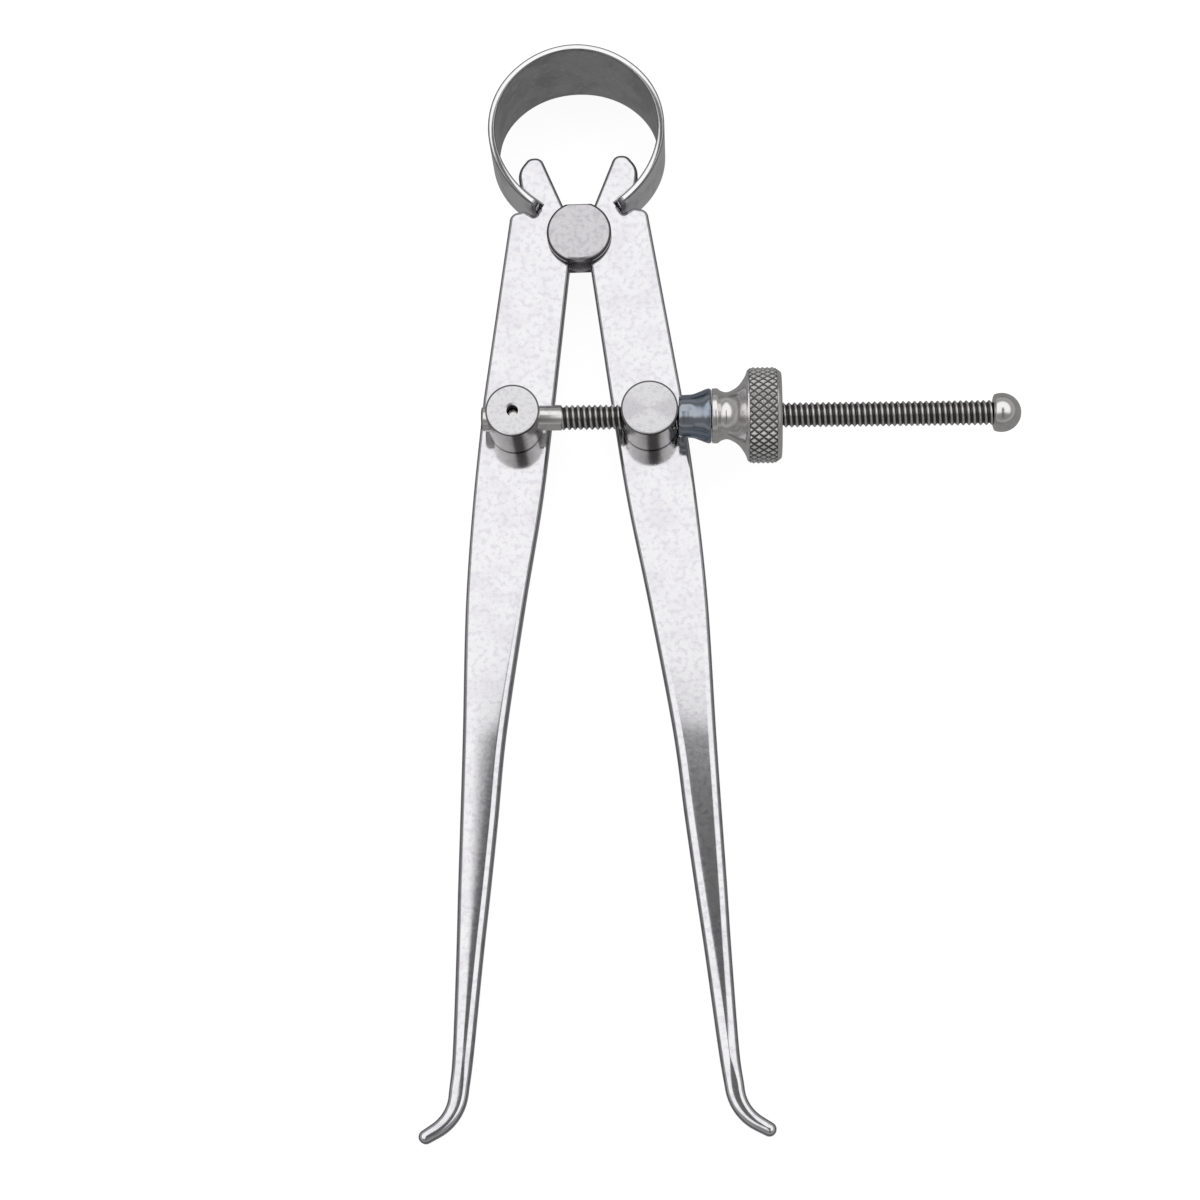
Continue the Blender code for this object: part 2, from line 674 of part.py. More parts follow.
def nut_neck():
    """The nut's profile from its rim, over its waist, to the knurl's edge, as (radius, place along it)."""
    flare = [Vector((NUT_RIM_RADIUS, NUT_RIM_WIDTH))]
    for share, flared in NUT_FLARE:
        radius = blend(NUT_WAIST_RADIUS, KNURL_RADIUS, flared)
        flare.append(Vector((radius, share * NUT_NECK_LENGTH)))
    flare.append(Vector((KNURL_RADIUS - KNURL_DEPTH, NUT_FLARE_END * NUT_NECK_LENGTH)))
    return [(NUT_RIM_RADIUS, BORE_CHAMFER), *(tuple(point) for point in curve_through(flare, 2))]


def knurl_ring(bm, row):
    """One row of a diamond knurl: crests and crossings by turns, each row a half step on from the last."""
    along = NUT_NECK_LENGTH + row * KNURL_HALF_PITCH
    ring = []
    for k in range(2 * KNURL_LINES):
        radius = KNURL_RADIUS - KNURL_DEPTH * ((k + row) % 2)
        angle = math.tau * k / (2 * KNURL_LINES)
        ring.append(bm.verts.new((along, radius * math.cos(angle), radius * math.sin(angle))))
    return ring


def join_knurl(bm, ring, following, row):
    """Splits each cell along its groove, which runs from crossing to crossing."""
    count = len(ring)
    for k in range(count):
        after = (k + 1) % count
        low, low_after, high, high_after = ring[k], ring[after], following[k], following[after]
        if (k + row) % 2:
            bm.faces.new((low, low_after, high_after))
            bm.faces.new((low, high_after, high))
        else:
            bm.faces.new((low, low_after, high))
            bm.faces.new((low_after, high_after, high))


def make_adjusting_nut(collar):
    """The nut: rim, waist and flare, a knurled band with chamfered ends, and a bore for the thread."""
    bm = bmesh.new()
    bore = CREST_RADIUS + TURN_GAP
    steps = KNURL_LINES
    mouth = ring_of(bm, bore + BORE_CHAMFER, 0, steps)
    rings = [mouth, ring_of(bm, NUT_RIM_RADIUS - BORE_CHAMFER, 0, steps)]
    rings += [ring_of(bm, radius, along, steps) for radius, along in nut_neck()]
    for ring, following in zip(rings, rings[1:]):
        join_rings(bm, ring, following)
    knurl = [knurl_ring(bm, row) for row in range(KNURL_ROWS + 1)]
    join_rings(bm, rings[-1], knurl[0])
    for row in range(KNURL_ROWS):
        join_knurl(bm, knurl[row], knurl[row + 1], row)
    knurl_end = NUT_NECK_LENGTH + KNURL_ROWS * KNURL_HALF_PITCH
    end = knurl_end + NUT_END_CHAMFER
    shoulder = ring_of(bm, KNURL_RADIUS - KNURL_DEPTH, knurl_end + KNURL_RUNOUT, steps)
    join_rings(bm, shoulder, knurl[-1])
    closing = [
        shoulder,
        ring_of(bm, KNURL_RADIUS - NUT_END_CHAMFER, end, steps),
        ring_of(bm, bore + BORE_CHAMFER, end, steps),
        ring_of(bm, bore, end - BORE_CHAMFER, steps),
        ring_of(bm, bore, BORE_CHAMFER, steps),
        mouth,
    ]
    for ring, following in zip(closing, closing[1:]):
        join_rings(bm, ring, following)
    at = COLLAR_LENGTH + SEAT_GAP
    return add_object("adjusting_nut", bm, "bright_nickel", collar, (at, 0, 0))


def rest_lean():
    """The angle between the legs and the flat surface under the bow's back edge and the two tips."""
    crown_drop = BOW_CROWN_WIDTH / 2
    tip_drop = TIP_THICKNESS / 2
    tip_down = LEG_STATIONS[-1][0] + foot_drop()
    return math.atan2(crown_drop - tip_drop, BOW_CENTRE + BOW_RADIUS + tip_down)


def build_caliper():
    clear_scene()
    lean = bpy.data.objects.new("caliper_lean", None)
    bpy.context.scene.collection.objects.link(lean)
    lean.rotation_euler.x = rest_lean()
    lean.location = -(Matrix.Rotation(rest_lean(), 3, "X") @ Vector((0, 0, SLIDE_GAP + FLANGE_THICKNESS)))
    make_fulcrum_stud(lean)
    make_bow_spring(lean)
    left_leg = make_leg("left_leg", -1, lean)
    right_leg = make_leg("right_leg", 1, lean)
    left_post = make_post(
        "left_post", -1, LEFT_POST_RADIUS, LEFT_POST_HEIGHT, SHANK_RADIUS + TURN_GAP, left_leg
    )
    make_post("right_post", 1, RIGHT_POST_RADIUS, RIGHT_POST_HEIGHT, CREST_RADIUS + SLIP_GAP, right_leg)
    screw = make_adjusting_screw(left_post)
    make_lock_pin(left_post, screw)
    make_end_button(screw)
    make_adjusting_nut(make_thrust_collar(screw))


build_caliper()
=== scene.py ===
"""Looks of the inside spring caliper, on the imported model.

Pieces are made in the legs' own frame, as in the part's source: +X across the legs towards the screw's free end,
+Y towards the bow spring, +Z out of the legs' front faces, and the fulcrum's axis on Z. LEG_FRAME puts them in the
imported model's frame, where the caliper lies on the back of its bow and on its two tips. Lengths are in millimetres.
"""

import json
import math

import bmesh
import bpy
from mathutils import Matrix, Vector


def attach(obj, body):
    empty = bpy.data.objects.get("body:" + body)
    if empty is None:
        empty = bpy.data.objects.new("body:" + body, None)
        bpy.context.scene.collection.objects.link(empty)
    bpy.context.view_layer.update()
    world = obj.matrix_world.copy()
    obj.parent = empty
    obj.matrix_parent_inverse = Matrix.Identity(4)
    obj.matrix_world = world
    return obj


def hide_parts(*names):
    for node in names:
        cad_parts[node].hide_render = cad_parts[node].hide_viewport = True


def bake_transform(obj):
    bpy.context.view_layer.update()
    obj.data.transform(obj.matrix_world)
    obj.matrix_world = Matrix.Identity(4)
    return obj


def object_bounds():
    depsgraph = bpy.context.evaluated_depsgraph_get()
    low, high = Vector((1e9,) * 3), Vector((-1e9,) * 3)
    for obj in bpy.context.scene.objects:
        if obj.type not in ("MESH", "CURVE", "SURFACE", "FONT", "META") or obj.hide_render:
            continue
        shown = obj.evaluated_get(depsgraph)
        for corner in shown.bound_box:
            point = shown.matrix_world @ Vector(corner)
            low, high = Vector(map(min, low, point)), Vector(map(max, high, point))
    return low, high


MM = 0.001
SHARP_DEGREES = 35

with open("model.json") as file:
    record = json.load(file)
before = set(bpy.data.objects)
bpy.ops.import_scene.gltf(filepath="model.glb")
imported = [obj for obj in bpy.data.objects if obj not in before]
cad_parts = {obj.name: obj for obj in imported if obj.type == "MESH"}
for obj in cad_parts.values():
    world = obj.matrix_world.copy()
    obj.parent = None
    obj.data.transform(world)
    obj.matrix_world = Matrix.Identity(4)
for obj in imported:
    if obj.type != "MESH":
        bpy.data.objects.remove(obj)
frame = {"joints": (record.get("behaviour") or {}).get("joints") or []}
cad_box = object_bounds()
joints = {joint["name"]: joint for joint in frame["joints"]}

# Sizes that follow the part's source. Each leg station is a distance down from the fulcrum's axis, and the
# distances of the leg's inner and outer sides from the middle.
LEG_STATIONS = (
    (24.0, 3.9, 14.02),
    (39.0, 5.95, 15.68),
    (54.0, 8.6, 16.85),
    (72.0, 11.5, 17.45),
    (84.0, 12.8, 17.93),
    (94.0, 13.95, 18.35),
    (103.0, 15.05, 18.68),
    (116.0, 16.5, 19.3),
    (121.0, 17.2, 19.85),
)
# The leg grows thinner from this station on. Its rounded edge reaches in by LEG_EDGE_ROUND, by EDGE_WIDEST low down
# and by TIP_EDGE_WIDTH at the foot, and its flats are higher along their middle by FLAT_CROWN.
TAPER_STATION = 3
LEG_THICKNESS = 3.2
TIP_THICKNESS = 2.3
LEG_EDGE_ROUND = 0.68
EDGE_WIDEST = 1.3
TIP_EDGE_WIDTH = 0.85
EDGE_WIDENS = (38.0, 78.0)
# The middle rings of each rounded edge, DARK_EDGE_STEPS either side, take the edge material, whose darker steel is
# painted shade.
DARK_EDGE_STEPS = 4
TIP_EDGE_ROUND = 0.7
FLAT_CROWN = 0.010
CROWN_GROWS = (-24.0, 54.0)
FOOT_STRAIGHT = 0.5
FOOT_BEND_RADIUS = 6.2
FOOT_START_ANGLE = math.radians(8)
FOOT_TURN_ANGLE = math.radians(60)
FOOT_LENGTH = 1.6
TIP_RADIUS = 0.95
WAIST = (0.8, 1.05)
HORN_INNER = (5.3, 12.1)
HORN_OUTER = (7.1, 12.0)
HORN_SIDE = (8.72, 9.95)
HORN_ROUND = 1.25
HORN_SIDE_ROUND = 3.0
SHOULDER_TOP = 4.0
SHOULDER_LEDGE = 2.0
SHOULDER_FALL = 0.4
SHOULDER_ROUND = 1.3
NOTCH_DEPTH = 0.5
NOTCH_LENGTH = 1.4
NOTCH_ROUND = 0.2
SLIDE_GAP = 0.15
TURN_GAP = 0.1
SLIP_GAP = 0.55
SEAT_GAP = 0.3
COLLAR_GAP = 0.06
FLANGE_RADIUS = 4.62
FLANGE_THICKNESS = 1.1
FLANGE_FLAT = 4.25
FLANGE_ROUND = 0.26
CORE_RADIUS = 2.55
BOW_SEAT_HEIGHT = 4.185
BOW_RADIUS = 12.6
BOW_TUCK = 1.55
BOW_TUCK_START = math.radians(52)
BOW_END_ANGLE = math.radians(146.5)
BOW_THICKNESS = 1.0
BOW_CROWN_WIDTH = 16.4
BOW_END_WIDTH = 7.8
BOW_TAPER_POWER = 1.45
BOW_EDGE_ROUND = 0.27
BOW_CORNER_ROUND = 0.8
HORN_HUG_ANGLE = math.radians(127)
BOW_CENTRE = BOW_SEAT_HEIGHT - (BOW_RADIUS - BOW_TUCK) * math.cos(BOW_END_ANGLE)
BOW_OVERRUN = 0.35
POST_OUT = 9.5
POST_DOWN = 28.5
LEFT_POST_RADIUS = 3.75
LEFT_POST_HEIGHT = 8.2
RIGHT_POST_RADIUS = 3.97
RIGHT_POST_HEIGHT = 7.6
POST_ROUND = 0.2
JOURNAL_RADIUS = 2.0
RIVET_RADIUS = 2.8
RIVET_DEPTH = 0.9
RIVET_PROUD = 0.12
SCREW_HEIGHT = 4.5
SCREW_SLANT = math.radians(-1.0)
SHANK_RADIUS = 1.78
SHANK_STUB = 0.75
SHANK_REACH = 3.0
SHANK_CHAMFER = 0.3
THREAD_PITCH = 0.794
THREAD_TURNS = 76
THREAD_HIDDEN = 0.6
CREST_RADIUS = 1.75
ROOT_RADIUS = 1.43
SPIGOT_START = 1.05
SPIGOT_END = 2.0
PIN_RADIUS = 0.72
PIN_SUNK = 1.5
PIN_PAST = 1.0
PIN_ROUND = 0.15
COLLAR_LENGTH = 4.05
COLLAR_NOSE_RADIUS = 2.95
NUT_RIM_RADIUS = 3.82
NUT_RIM_WIDTH = 0.75
NUT_WAIST_RADIUS = 3.28
NUT_NECK_LENGTH = 5.15
KNURL_RADIUS = 6.72
KNURL_DEPTH = 0.33
KNURL_LINES = 36
KNURL_HALF_PITCH = 0.65
KNURL_ROWS = 6
NUT_END_CHAMFER = 0.65
BORE_CHAMFER = 0.3
BALL_RADIUS = 2.72
BALL_FLAT = 1.2
BALL_EDGE_ROUND = 0.4
BALL_SOCKET_DEPTH = 2.6

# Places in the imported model's frame
FACE_NORMAL = Vector(joints["right_leg_swing"]["axis"]).normalized()
LEAN = math.atan2(-FACE_NORMAL.y, FACE_NORMAL.z)
FRONT_DEPTH = (SLIDE_GAP + FLANGE_THICKNESS) * MM
LEG_FRAME = Matrix.Translation(-FACE_NORMAL * FRONT_DEPTH) @ Matrix.Rotation(LEAN, 4, "X")

# The photograph's camera, in the legs' frame
VIEW_MIDDLE = Vector((1.883, -53.83, 0.0)) * MM
VIEW_DIRECTION = Vector((0.02618, -0.23167, 0.97244))
VIEW_DISTANCE = 417 * MM
VIEW_ROLL = math.radians(-1.2)
LENS = 90.0
SENSOR = 36.0

# The studio, as greys at directions from the caliper. A band is (height of the direction, grey), and a shade is full
# between the middle two of its four places.
TENT_TOP = 1.0
TENT_BANDS = ((0.04, 0.10), (0.12, 0.26), (0.36, 0.42), (0.50, 0.26), (0.62, 0.34), (0.72, 1.0))
BELOW_HORIZON = 0.24
OVERHEAD = (0.3, 0.5)
VIEWER_SIDE = 0.24
VIEWER_SIDE_Y = (-0.5, -0.2)
CAMERA_SHADE = 0.12
CAMERA_SHADE_X = (-0.09, -0.05, 0.14, 0.20)
CAMERA_SHADE_Y = (-0.9, -0.7, 0.116, 0.156)

# The backdrop's section, as (distance out, height)
BACKDROP_FLOOR = (0, 0), (300, 0), (900, 0)
BACKDROP_RISE = (1400, 90), (1750, 380), (1900, 800), (1950, 1600), (1500, 2300), (0, 2600)
BACKDROP_BELOW = 0.05
BACKDROP_GREY = 0.3
BACKDROP_GLOW = 0.9

# Places of the materials in each piece's list
LEG_FLAT, LEG_EDGE = 0, 1
BOW_INSIDE, BOW_RIM, BOW_OUTSIDE, BOW_EDGE = 0, 1, 2, 3
POST_FACE, POST_SIDE, POST_HOLE = 0, 1, 2
NUT_KNURL = 1


def place(x, y, turn=0.0):
    """A frame at a point of the legs' front plane, in millimetres, turned about Z."""
    return LEG_FRAME @ Matrix.Translation(Vector((x, y, 0)) * MM) @ Matrix.Rotation(turn, 4, "Z")


def blend(low, high, share):
    return low + (high - low) * share


def smoothstep(value):
    share = min(max(value, 0.0), 1.0)
    return share * share * (3 - 2 * share)


def add_object(name, data, at):
    obj = bpy.data.objects.new(name, data)
    bpy.context.scene.collection.objects.link(obj)
    obj.matrix_world = at
    return obj


def add_mesh(name, bm, at):
    """Links a mesh made in millimetres."""
    bmesh.ops.scale(bm, vec=(MM, MM, MM), verts=bm.verts)
    bmesh.ops.recalc_face_normals(bm, faces=bm.faces)
    mesh = bpy.data.meshes.new(name)
    bm.to_mesh(mesh)
    bm.free()
    return add_object(name, mesh, at)


def shade(mesh, sharp):
    """Smooth, except at edges over that many degrees."""
    mesh.shade_smooth()
    mesh.set_sharp_from_angle(angle=math.radians(sharp))


def add_piece(name, bm, materials, body, at, sharp=SHARP_DEGREES):
    """Links a mesh made in millimetres as a piece that rides on a body."""
    obj = add_mesh(name, bm, at)
    for material in materials:
        obj.data.materials.append(material)
    shade(obj.data, sharp)
    if body:
        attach(obj, body)
    return obj


def stand_in(obj, node):
    """The piece takes the place of a CAD node, which is hidden."""
    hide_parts(node)


# Mesh helpers


def join_rings(bm, ring, following, material=0):
    count = len(ring)
    for k in range(count):
        after = (k + 1) % count
        face = bm.faces.new((ring[k], ring[after], following[after], following[k]))
        face.material_index = material


def join_all(bm, rings):
    for ring, following in zip(rings, rings[1:]):
        join_rings(bm, ring, following)


def vert_about_x(bm, along, radius, angle):
    return bm.verts.new((along, radius * math.cos(angle), radius * math.sin(angle)))


def ring_about_x(bm, radius, along, steps):
    return [vert_about_x(bm, along, radius, math.tau * k / steps) for k in range(steps)]


def turned(profile, steps=96, closed=False, marks=()):
    """A mesh turned about Z from (radius, height) points. marks gives the material of each span, 0 by default."""
    bm = bmesh.new()
    rings = []
    for radius, height in profile:
        if radius == 0:
            rings.append([bm.verts.new((0, 0, height))])
            continue
        angles = [math.tau * k / steps for k in range(steps)]
        rings.append([bm.verts.new((radius * math.cos(a), radius * math.sin(a), height)) for a in angles])
    pairs = list(zip(rings, rings[1:]))
    if closed:
        pairs.append((rings[-1], rings[0]))
    for span, (ring, following) in enumerate(pairs):
        material = marks[span] if span < len(marks) else 0
        if len(ring) == 1 or len(following) == 1:
            tip, rim = (ring[0], following) if len(ring) == 1 else (following[0], ring)
            for k in range(steps):
                bm.faces.new((tip, rim[k], rim[(k + 1) % steps])).material_index = material
        else:
            join_rings(bm, ring, following, material)
    return bm


def along_x(bm):
    """Lays a mesh turned about Z along X instead."""
    bmesh.ops.rotate(bm, cent=(0, 0, 0), matrix=Matrix.Rotation(math.pi / 2, 3, "Y"), verts=bm.verts)
    return bm


def soften(profile, reach, steps=4):
    """Rounds the corners of a profile of (radius, height) points, except its ends."""
    points = [Vector(point) for point in profile]
    soft = [points[0]]
    for before, corner, after in zip(points, points[1:], points[2:]):
        first = corner + (before - corner).normalized() * reach
        last = corner + (after - corner).normalized() * reach
        for step in range(steps + 1):
            t = step / steps
            soft.append(first * (1 - t) ** 2 + corner * 2 * t * (1 - t) + last * t**2)
    return [*soft, points[-1]]


def curve_through(points, per_span):
    """A Catmull-Rom curve through the points, ends included."""
    points = [Vector(point) for point in points]
    padded = [2 * points[0] - points[1], *points, 2 * points[-1] - points[-2]]
    curve = []
    for a, b, c, d in zip(padded, padded[1:], padded[2:], padded[3:]):
        for step in range(per_span):
            t = step / per_span
            curve.append(
                0.5 * (2 * b + (c - a) * t + (2 * a - 5 * b + 4 * c - d) * t**2 + (3 * b - a - 3 * c + d) * t**3)
            )
    return [*curve, points[-1]]


def rounded_corner(before, corner, after, radius, steps):
    """The arc that rounds a corner of an outline, from its first point to its last."""
    to_before = (before - corner).normalized()
    to_after = (after - corner).normalized()
    half = to_before.angle(to_after) / 2
    start = corner + to_before * radius / math.tan(half)
    end = corner + to_after * radius / math.tan(half)
    centre = corner + (to_before + to_after).normalized() * radius / math.sin(half)
    arm = start - centre
    turn = arm.angle_signed(end - centre)
    points = []
    for step in range(steps + 1):
        spin = -turn * step / steps
        across = (arm.x * math.cos(spin) - arm.y * math.sin(spin), arm.x * math.sin(spin) + arm.y * math.cos(spin))
        points.append(centre + Vector(across))
    return points


def even_shading(obj):
    """Lets the broad faces rule the normals, so that flats shade flat right up to their rounded edges."""
    modifier = obj.modifiers.new("even_shading", "WEIGHTED_NORMAL")
    modifier.mode = "FACE_AREA"
    modifier.weight = 50
    modifier.keep_sharp = True


def carve(obj, cutters, bevel=0.0):
    """Cuts the shapes out of the piece, rounds the new edges, applies both, and shades it evenly."""
    for shape in cutters:
        modifier = obj.modifiers.new("cut", "BOOLEAN")
        modifier.operation = "DIFFERENCE"
        modifier.solver = "EXACT"
        modifier.object = shape
    if bevel:
        modifier = obj.modifiers.new("edge", "BEVEL")
        modifier.width = bevel * MM
        modifier.segments = 3
        modifier.limit_method = "ANGLE"
        modifier.angle_limit = math.radians(50)
        modifier.use_clamp_overlap = True
    bpy.context.view_layer.update()
    evaluated = obj.evaluated_get(bpy.context.evaluated_depsgraph_get())
    carved = bpy.data.meshes.new_from_object(evaluated)
    obj.modifiers.clear()
    obj.data = carved
    shade(carved, SHARP_DEGREES)
    for shape in cutters:
        bpy.data.objects.remove(shape)
    even_shading(obj)


# Materials


# Painted shade: the dark line that the rounded rims of the posts and the fulcrum show.
PAINTED_RIM_SHADE = (0.05, 0.048, 0.05)
# Sockets of a colour Mix node: its two colours and its result
MIX_A, MIX_B, MIX_RESULT = 6, 7, 2


def step_node(tree, value, low, high, out_low, out_high):
    """A node that takes the value's step from low to high smoothly to one from out_low to out_high."""
    made = tree.nodes.new("ShaderNodeMapRange")
    made.interpolation_type = "SMOOTHSTEP"
    for socket, number in zip(made.inputs[1:5], (low, high, out_low, out_high)):
        socket.default_value = number
    tree.links.new(value, made.inputs["Value"])
    return made.outputs[0]


class Steel:
    """A metal whose colour, roughness and bump come from noise in the piece's own coordinates."""

    def __init__(self, name, colour, roughness):
        self.material = bpy.data.materials.new(name)
        self.material.use_nodes = True
        self.tree = self.material.node_tree
        self.shader = self.tree.nodes["Principled BSDF"]
        self.shader.inputs["Metallic"].default_value = 1.0
        self.coordinates = self.node("ShaderNodeTexCoord").outputs["Object"]
        self.colour = (*colour, 1.0)
        self.roughness = roughness
        self.height = None

    def node(self, kind, **inputs):
        made = self.tree.nodes.new(kind)
        for socket, value in inputs.items():
            self.feed(made.inputs[socket], value)
        return made

    def feed(self, socket, value):
        if isinstance(value, bpy.types.NodeSocket):
            self.tree.links.new(value, socket)
        else:
            socket.default_value = value

    def maths(self, operation, first, second=0.0):
        made = self.node("ShaderNodeMath")
        made.operation = operation
        self.feed(made.inputs[0], first)
        self.feed(made.inputs[1], second)
        return made.outputs[0]

    def noise(self, scale, detail=3.0, stretch=(1, 1, 1)):
        """Noise from 0 to 1. scale is in waves per millimetre, divided along each axis by stretch."""
        mapping = self.node("ShaderNodeMapping", Vector=self.coordinates)
        mapping.inputs["Scale"].default_value = [scale / MM / s for s in stretch]
        made = self.node("ShaderNodeTexNoise", Vector=mapping.outputs[0], Scale=1.0, Detail=detail, Roughness=0.55)
        return made.outputs[0]

    def ramp(self, value, low, high, out_low=0.0, out_high=1.0):
        return step_node(self.tree, value, low, high, out_low, out_high)

    def tint(self, colour, share):
        """Mixes a colour in where share, a number or a socket, is 1."""
        made = self.node("ShaderNodeMix")
        made.data_type = "RGBA"
        self.feed(made.inputs["Factor"], share)
        self.feed(made.inputs[MIX_A], self.colour)
        made.inputs[MIX_B].default_value = (*colour, 1.0)
        self.colour = made.outputs[MIX_RESULT]

    def blotch(self, colour, value, low, high, most):
        """Mixes a colour in where the value rises from low to high, up to the share most."""
        self.tint(colour, self.ramp(value, low, high, 0.0, most))

    def roughen(self, by, share):
        self.roughness = self.maths("ADD", self.roughness, self.maths("MULTIPLY", share, by))

    def raise_by(self, height, share):
        """Adds to the bump, in millimetres."""
        step = self.maths("MULTIPLY", share, height * MM)
        self.height = step if self.height is None else self.maths("ADD", self.height, step)

    def distance(self, along_x=False):
        """Distance in millimetres from the piece's own Z axis, or from its X axis."""
        split = self.node("ShaderNodeSeparateXYZ", Vector=self.coordinates)
        sides = [split.outputs[axis] for axis in ("YZ" if along_x else "XY")]
        squares = self.maths("ADD", *(self.maths("MULTIPLY", side, side) for side in sides))
        return self.maths("DIVIDE", self.maths("SQRT", squares), MM)

    def axis(self, name):
        """The place along one of the piece's own axes, in millimetres."""
        split = self.node("ShaderNodeSeparateXYZ", Vector=self.coordinates)
        return self.maths("DIVIDE", split.outputs[name], MM)

    def angle(self):
        """The angle in radians about the piece's own Z axis."""
        split = self.node("ShaderNodeSeparateXYZ", Vector=self.coordinates)
        return self.maths("ARCTAN2", split.outputs["Y"], split.outputs["X"])

    def rings(self, distance, pitch, wobble=0.3):
        """Turning marks: waves of a distance, with an uneven rhythm."""
        uneven = self.maths("MULTIPLY", self.noise(0.8, 1.0), wobble)
        phase = self.maths("MULTIPLY", self.maths("ADD", distance, uneven), math.tau / pitch)
        return self.maths("ADD", self.maths("MULTIPLY", self.maths("SINE", phase), 0.5), 0.5)

    def done(self):
        """Connects the colour, the roughness and the bump to the shader."""
        self.feed(self.shader.inputs["Base Color"], self.colour)
        self.feed(self.shader.inputs["Roughness"], self.roughness)
        if self.height is not None:
            bump = self.node("ShaderNodeBump", Height=self.height)
            bump.inputs["Strength"].default_value = 1.0
            bump.inputs["Distance"].default_value = 1.0
            self.feed(self.shader.inputs["Normal"], bump.outputs[0])
        return self.material


def satin_chrome(name):
    """Ground and satin plated: a fine mottle of pale lilac grey under long faint grinding lines."""
    mottle = (0.72, 0.70, 0.76)
    steel = Steel(name, (0.90, 0.89, 0.905), 0.06)
    steel.blotch(mottle, steel.noise(1.3), 0.46, 0.66, 0.7)
    steel.blotch(mottle, steel.noise(0.25), 0.4, 0.7, 0.4)
    steel.roughen(0.07, steel.noise(1.8))
    steel.raise_by(0.0012, steel.noise(1.6, 2.0))
    steel.raise_by(0.0004, steel.noise(3.0, 2.0, stretch=(1, 12, 1)))
    return steel.done()


def spring_steel(name):
    """The bow's broad faces: tempered, dull and a little blotched."""
    steel = Steel(name, (0.55, 0.55, 0.56), 0.36)
    steel.blotch((0.38, 0.38, 0.39), steel.noise(0.16), 0.42, 0.66, 0.8)
    steel.blotch((0.68, 0.68, 0.69), steel.noise(1.2, 4.0), 0.5, 0.75, 0.7)
    steel.roughen(0.16, steel.noise(0.9, 4.0))
    steel.raise_by(0.0035, steel.noise(1.1, 5.0))
    steel.raise_by(0.0015, steel.noise(1.6, stretch=(9, 9, 1)))
    return steel.done()


def polished_rim(name):
    """The bow's front and back rims, ground bright."""
    steel = Steel(name, (0.96, 0.955, 0.96), 0.07)
    steel.blotch((0.72, 0.72, 0.74), steel.noise(1.6), 0.55, 0.8, 0.5)
    steel.roughen(0.08, steel.noise(2.2))
    steel.raise_by(0.0006, steel.noise(3.0))
    return steel.done()


def painted_edge_shade(name):
    """The narrow rounded edges of the strip and of the legs: their steel made darker, as painted shade for the dark
    lines that rounded edges show.
    """
    steel = Steel(name, (0.46, 0.45, 0.47), 0.14)
    steel.blotch((0.34, 0.33, 0.35), steel.noise(0.9), 0.45, 0.7, 0.8)
    steel.roughen(0.12, steel.noise(1.6))
    steel.raise_by(0.0010, steel.noise(2.4))
    return steel.done()


def bow_outside(name):
    """The bow's outer face: brushed along the strip, its steel much paler than the inside's as painted sheen."""
    # Paler than the inside's steel: painted sheen.
    steel = Steel(name, (0.98, 0.97, 0.99), 0.24)
    steel.blotch((0.66, 0.65, 0.67), steel.noise(0.4, 4.0, stretch=(1, 1, 2)), 0.45, 0.72, 0.7)
    steel.roughen(0.16, steel.noise(1.2, 4.0))
    steel.raise_by(0.0015, steel.noise(1.6, stretch=(6, 6, 1)))
    return steel.done()


def turned_face(name, radius, shine):
    """A post's top: fine concentric turning marks about its axis, and a painted shade line round its rim. shine, from
    0 to 1, is the strength of two grey cones, a painted reflection of the sheen that the turning marks give, and of
    the marks."""
    steel = Steel(name, (0.76, 0.75, 0.765), 0.12)
    steel.blotch((0.58, 0.565, 0.59), steel.noise(1.8), 0.45, 0.7, 0.6)
    marks = steel.rings(steel.distance(), 0.3)
    if shine:
        # Painted reflection: two grey cones about the axis stand in for the sheen of the turning marks.
        cones = steel.maths("MULTIPLY", steel.maths("COSINE", steel.maths("MULTIPLY", steel.angle(), 2.0)), 0.5)
        steel.tint((0.50, 0.48, 0.51), steel.maths("MULTIPLY", steel.ramp(cones, 0.05, 0.5), 0.7 * shine))
        steel.tint((0.50, 0.49, 0.51), steel.maths("MULTIPLY", marks, 0.3 * shine))
    # Painted shade on the rounded rim.
    steel.blotch(PAINTED_RIM_SHADE, steel.distance(), radius - 0.27, radius - 0.19, 0.9)
    steel.roughen(0.08, marks)
    steel.raise_by(0.0010, steel.noise(2.4))
    return steel.done()


def fulcrum_plate(name):
    """The fulcrum's flange: greyer plating than the legs', with a painted shade line round its rounded rim."""
    steel = Steel(name, (0.66, 0.64, 0.66), 0.10)
    steel.blotch((0.50, 0.48, 0.52), steel.noise(1.4), 0.42, 0.66, 0.7)
    # Painted shade round the rounded rim.
    steel.blotch(PAINTED_RIM_SHADE, steel.distance(), FLANGE_RADIUS - 0.38, FLANGE_RADIUS - 0.27, 0.9)
    steel.roughen(0.10, steel.noise(1.8))
    steel.raise_by(0.0012, steel.noise(1.6, 2.0))
    return steel.done()


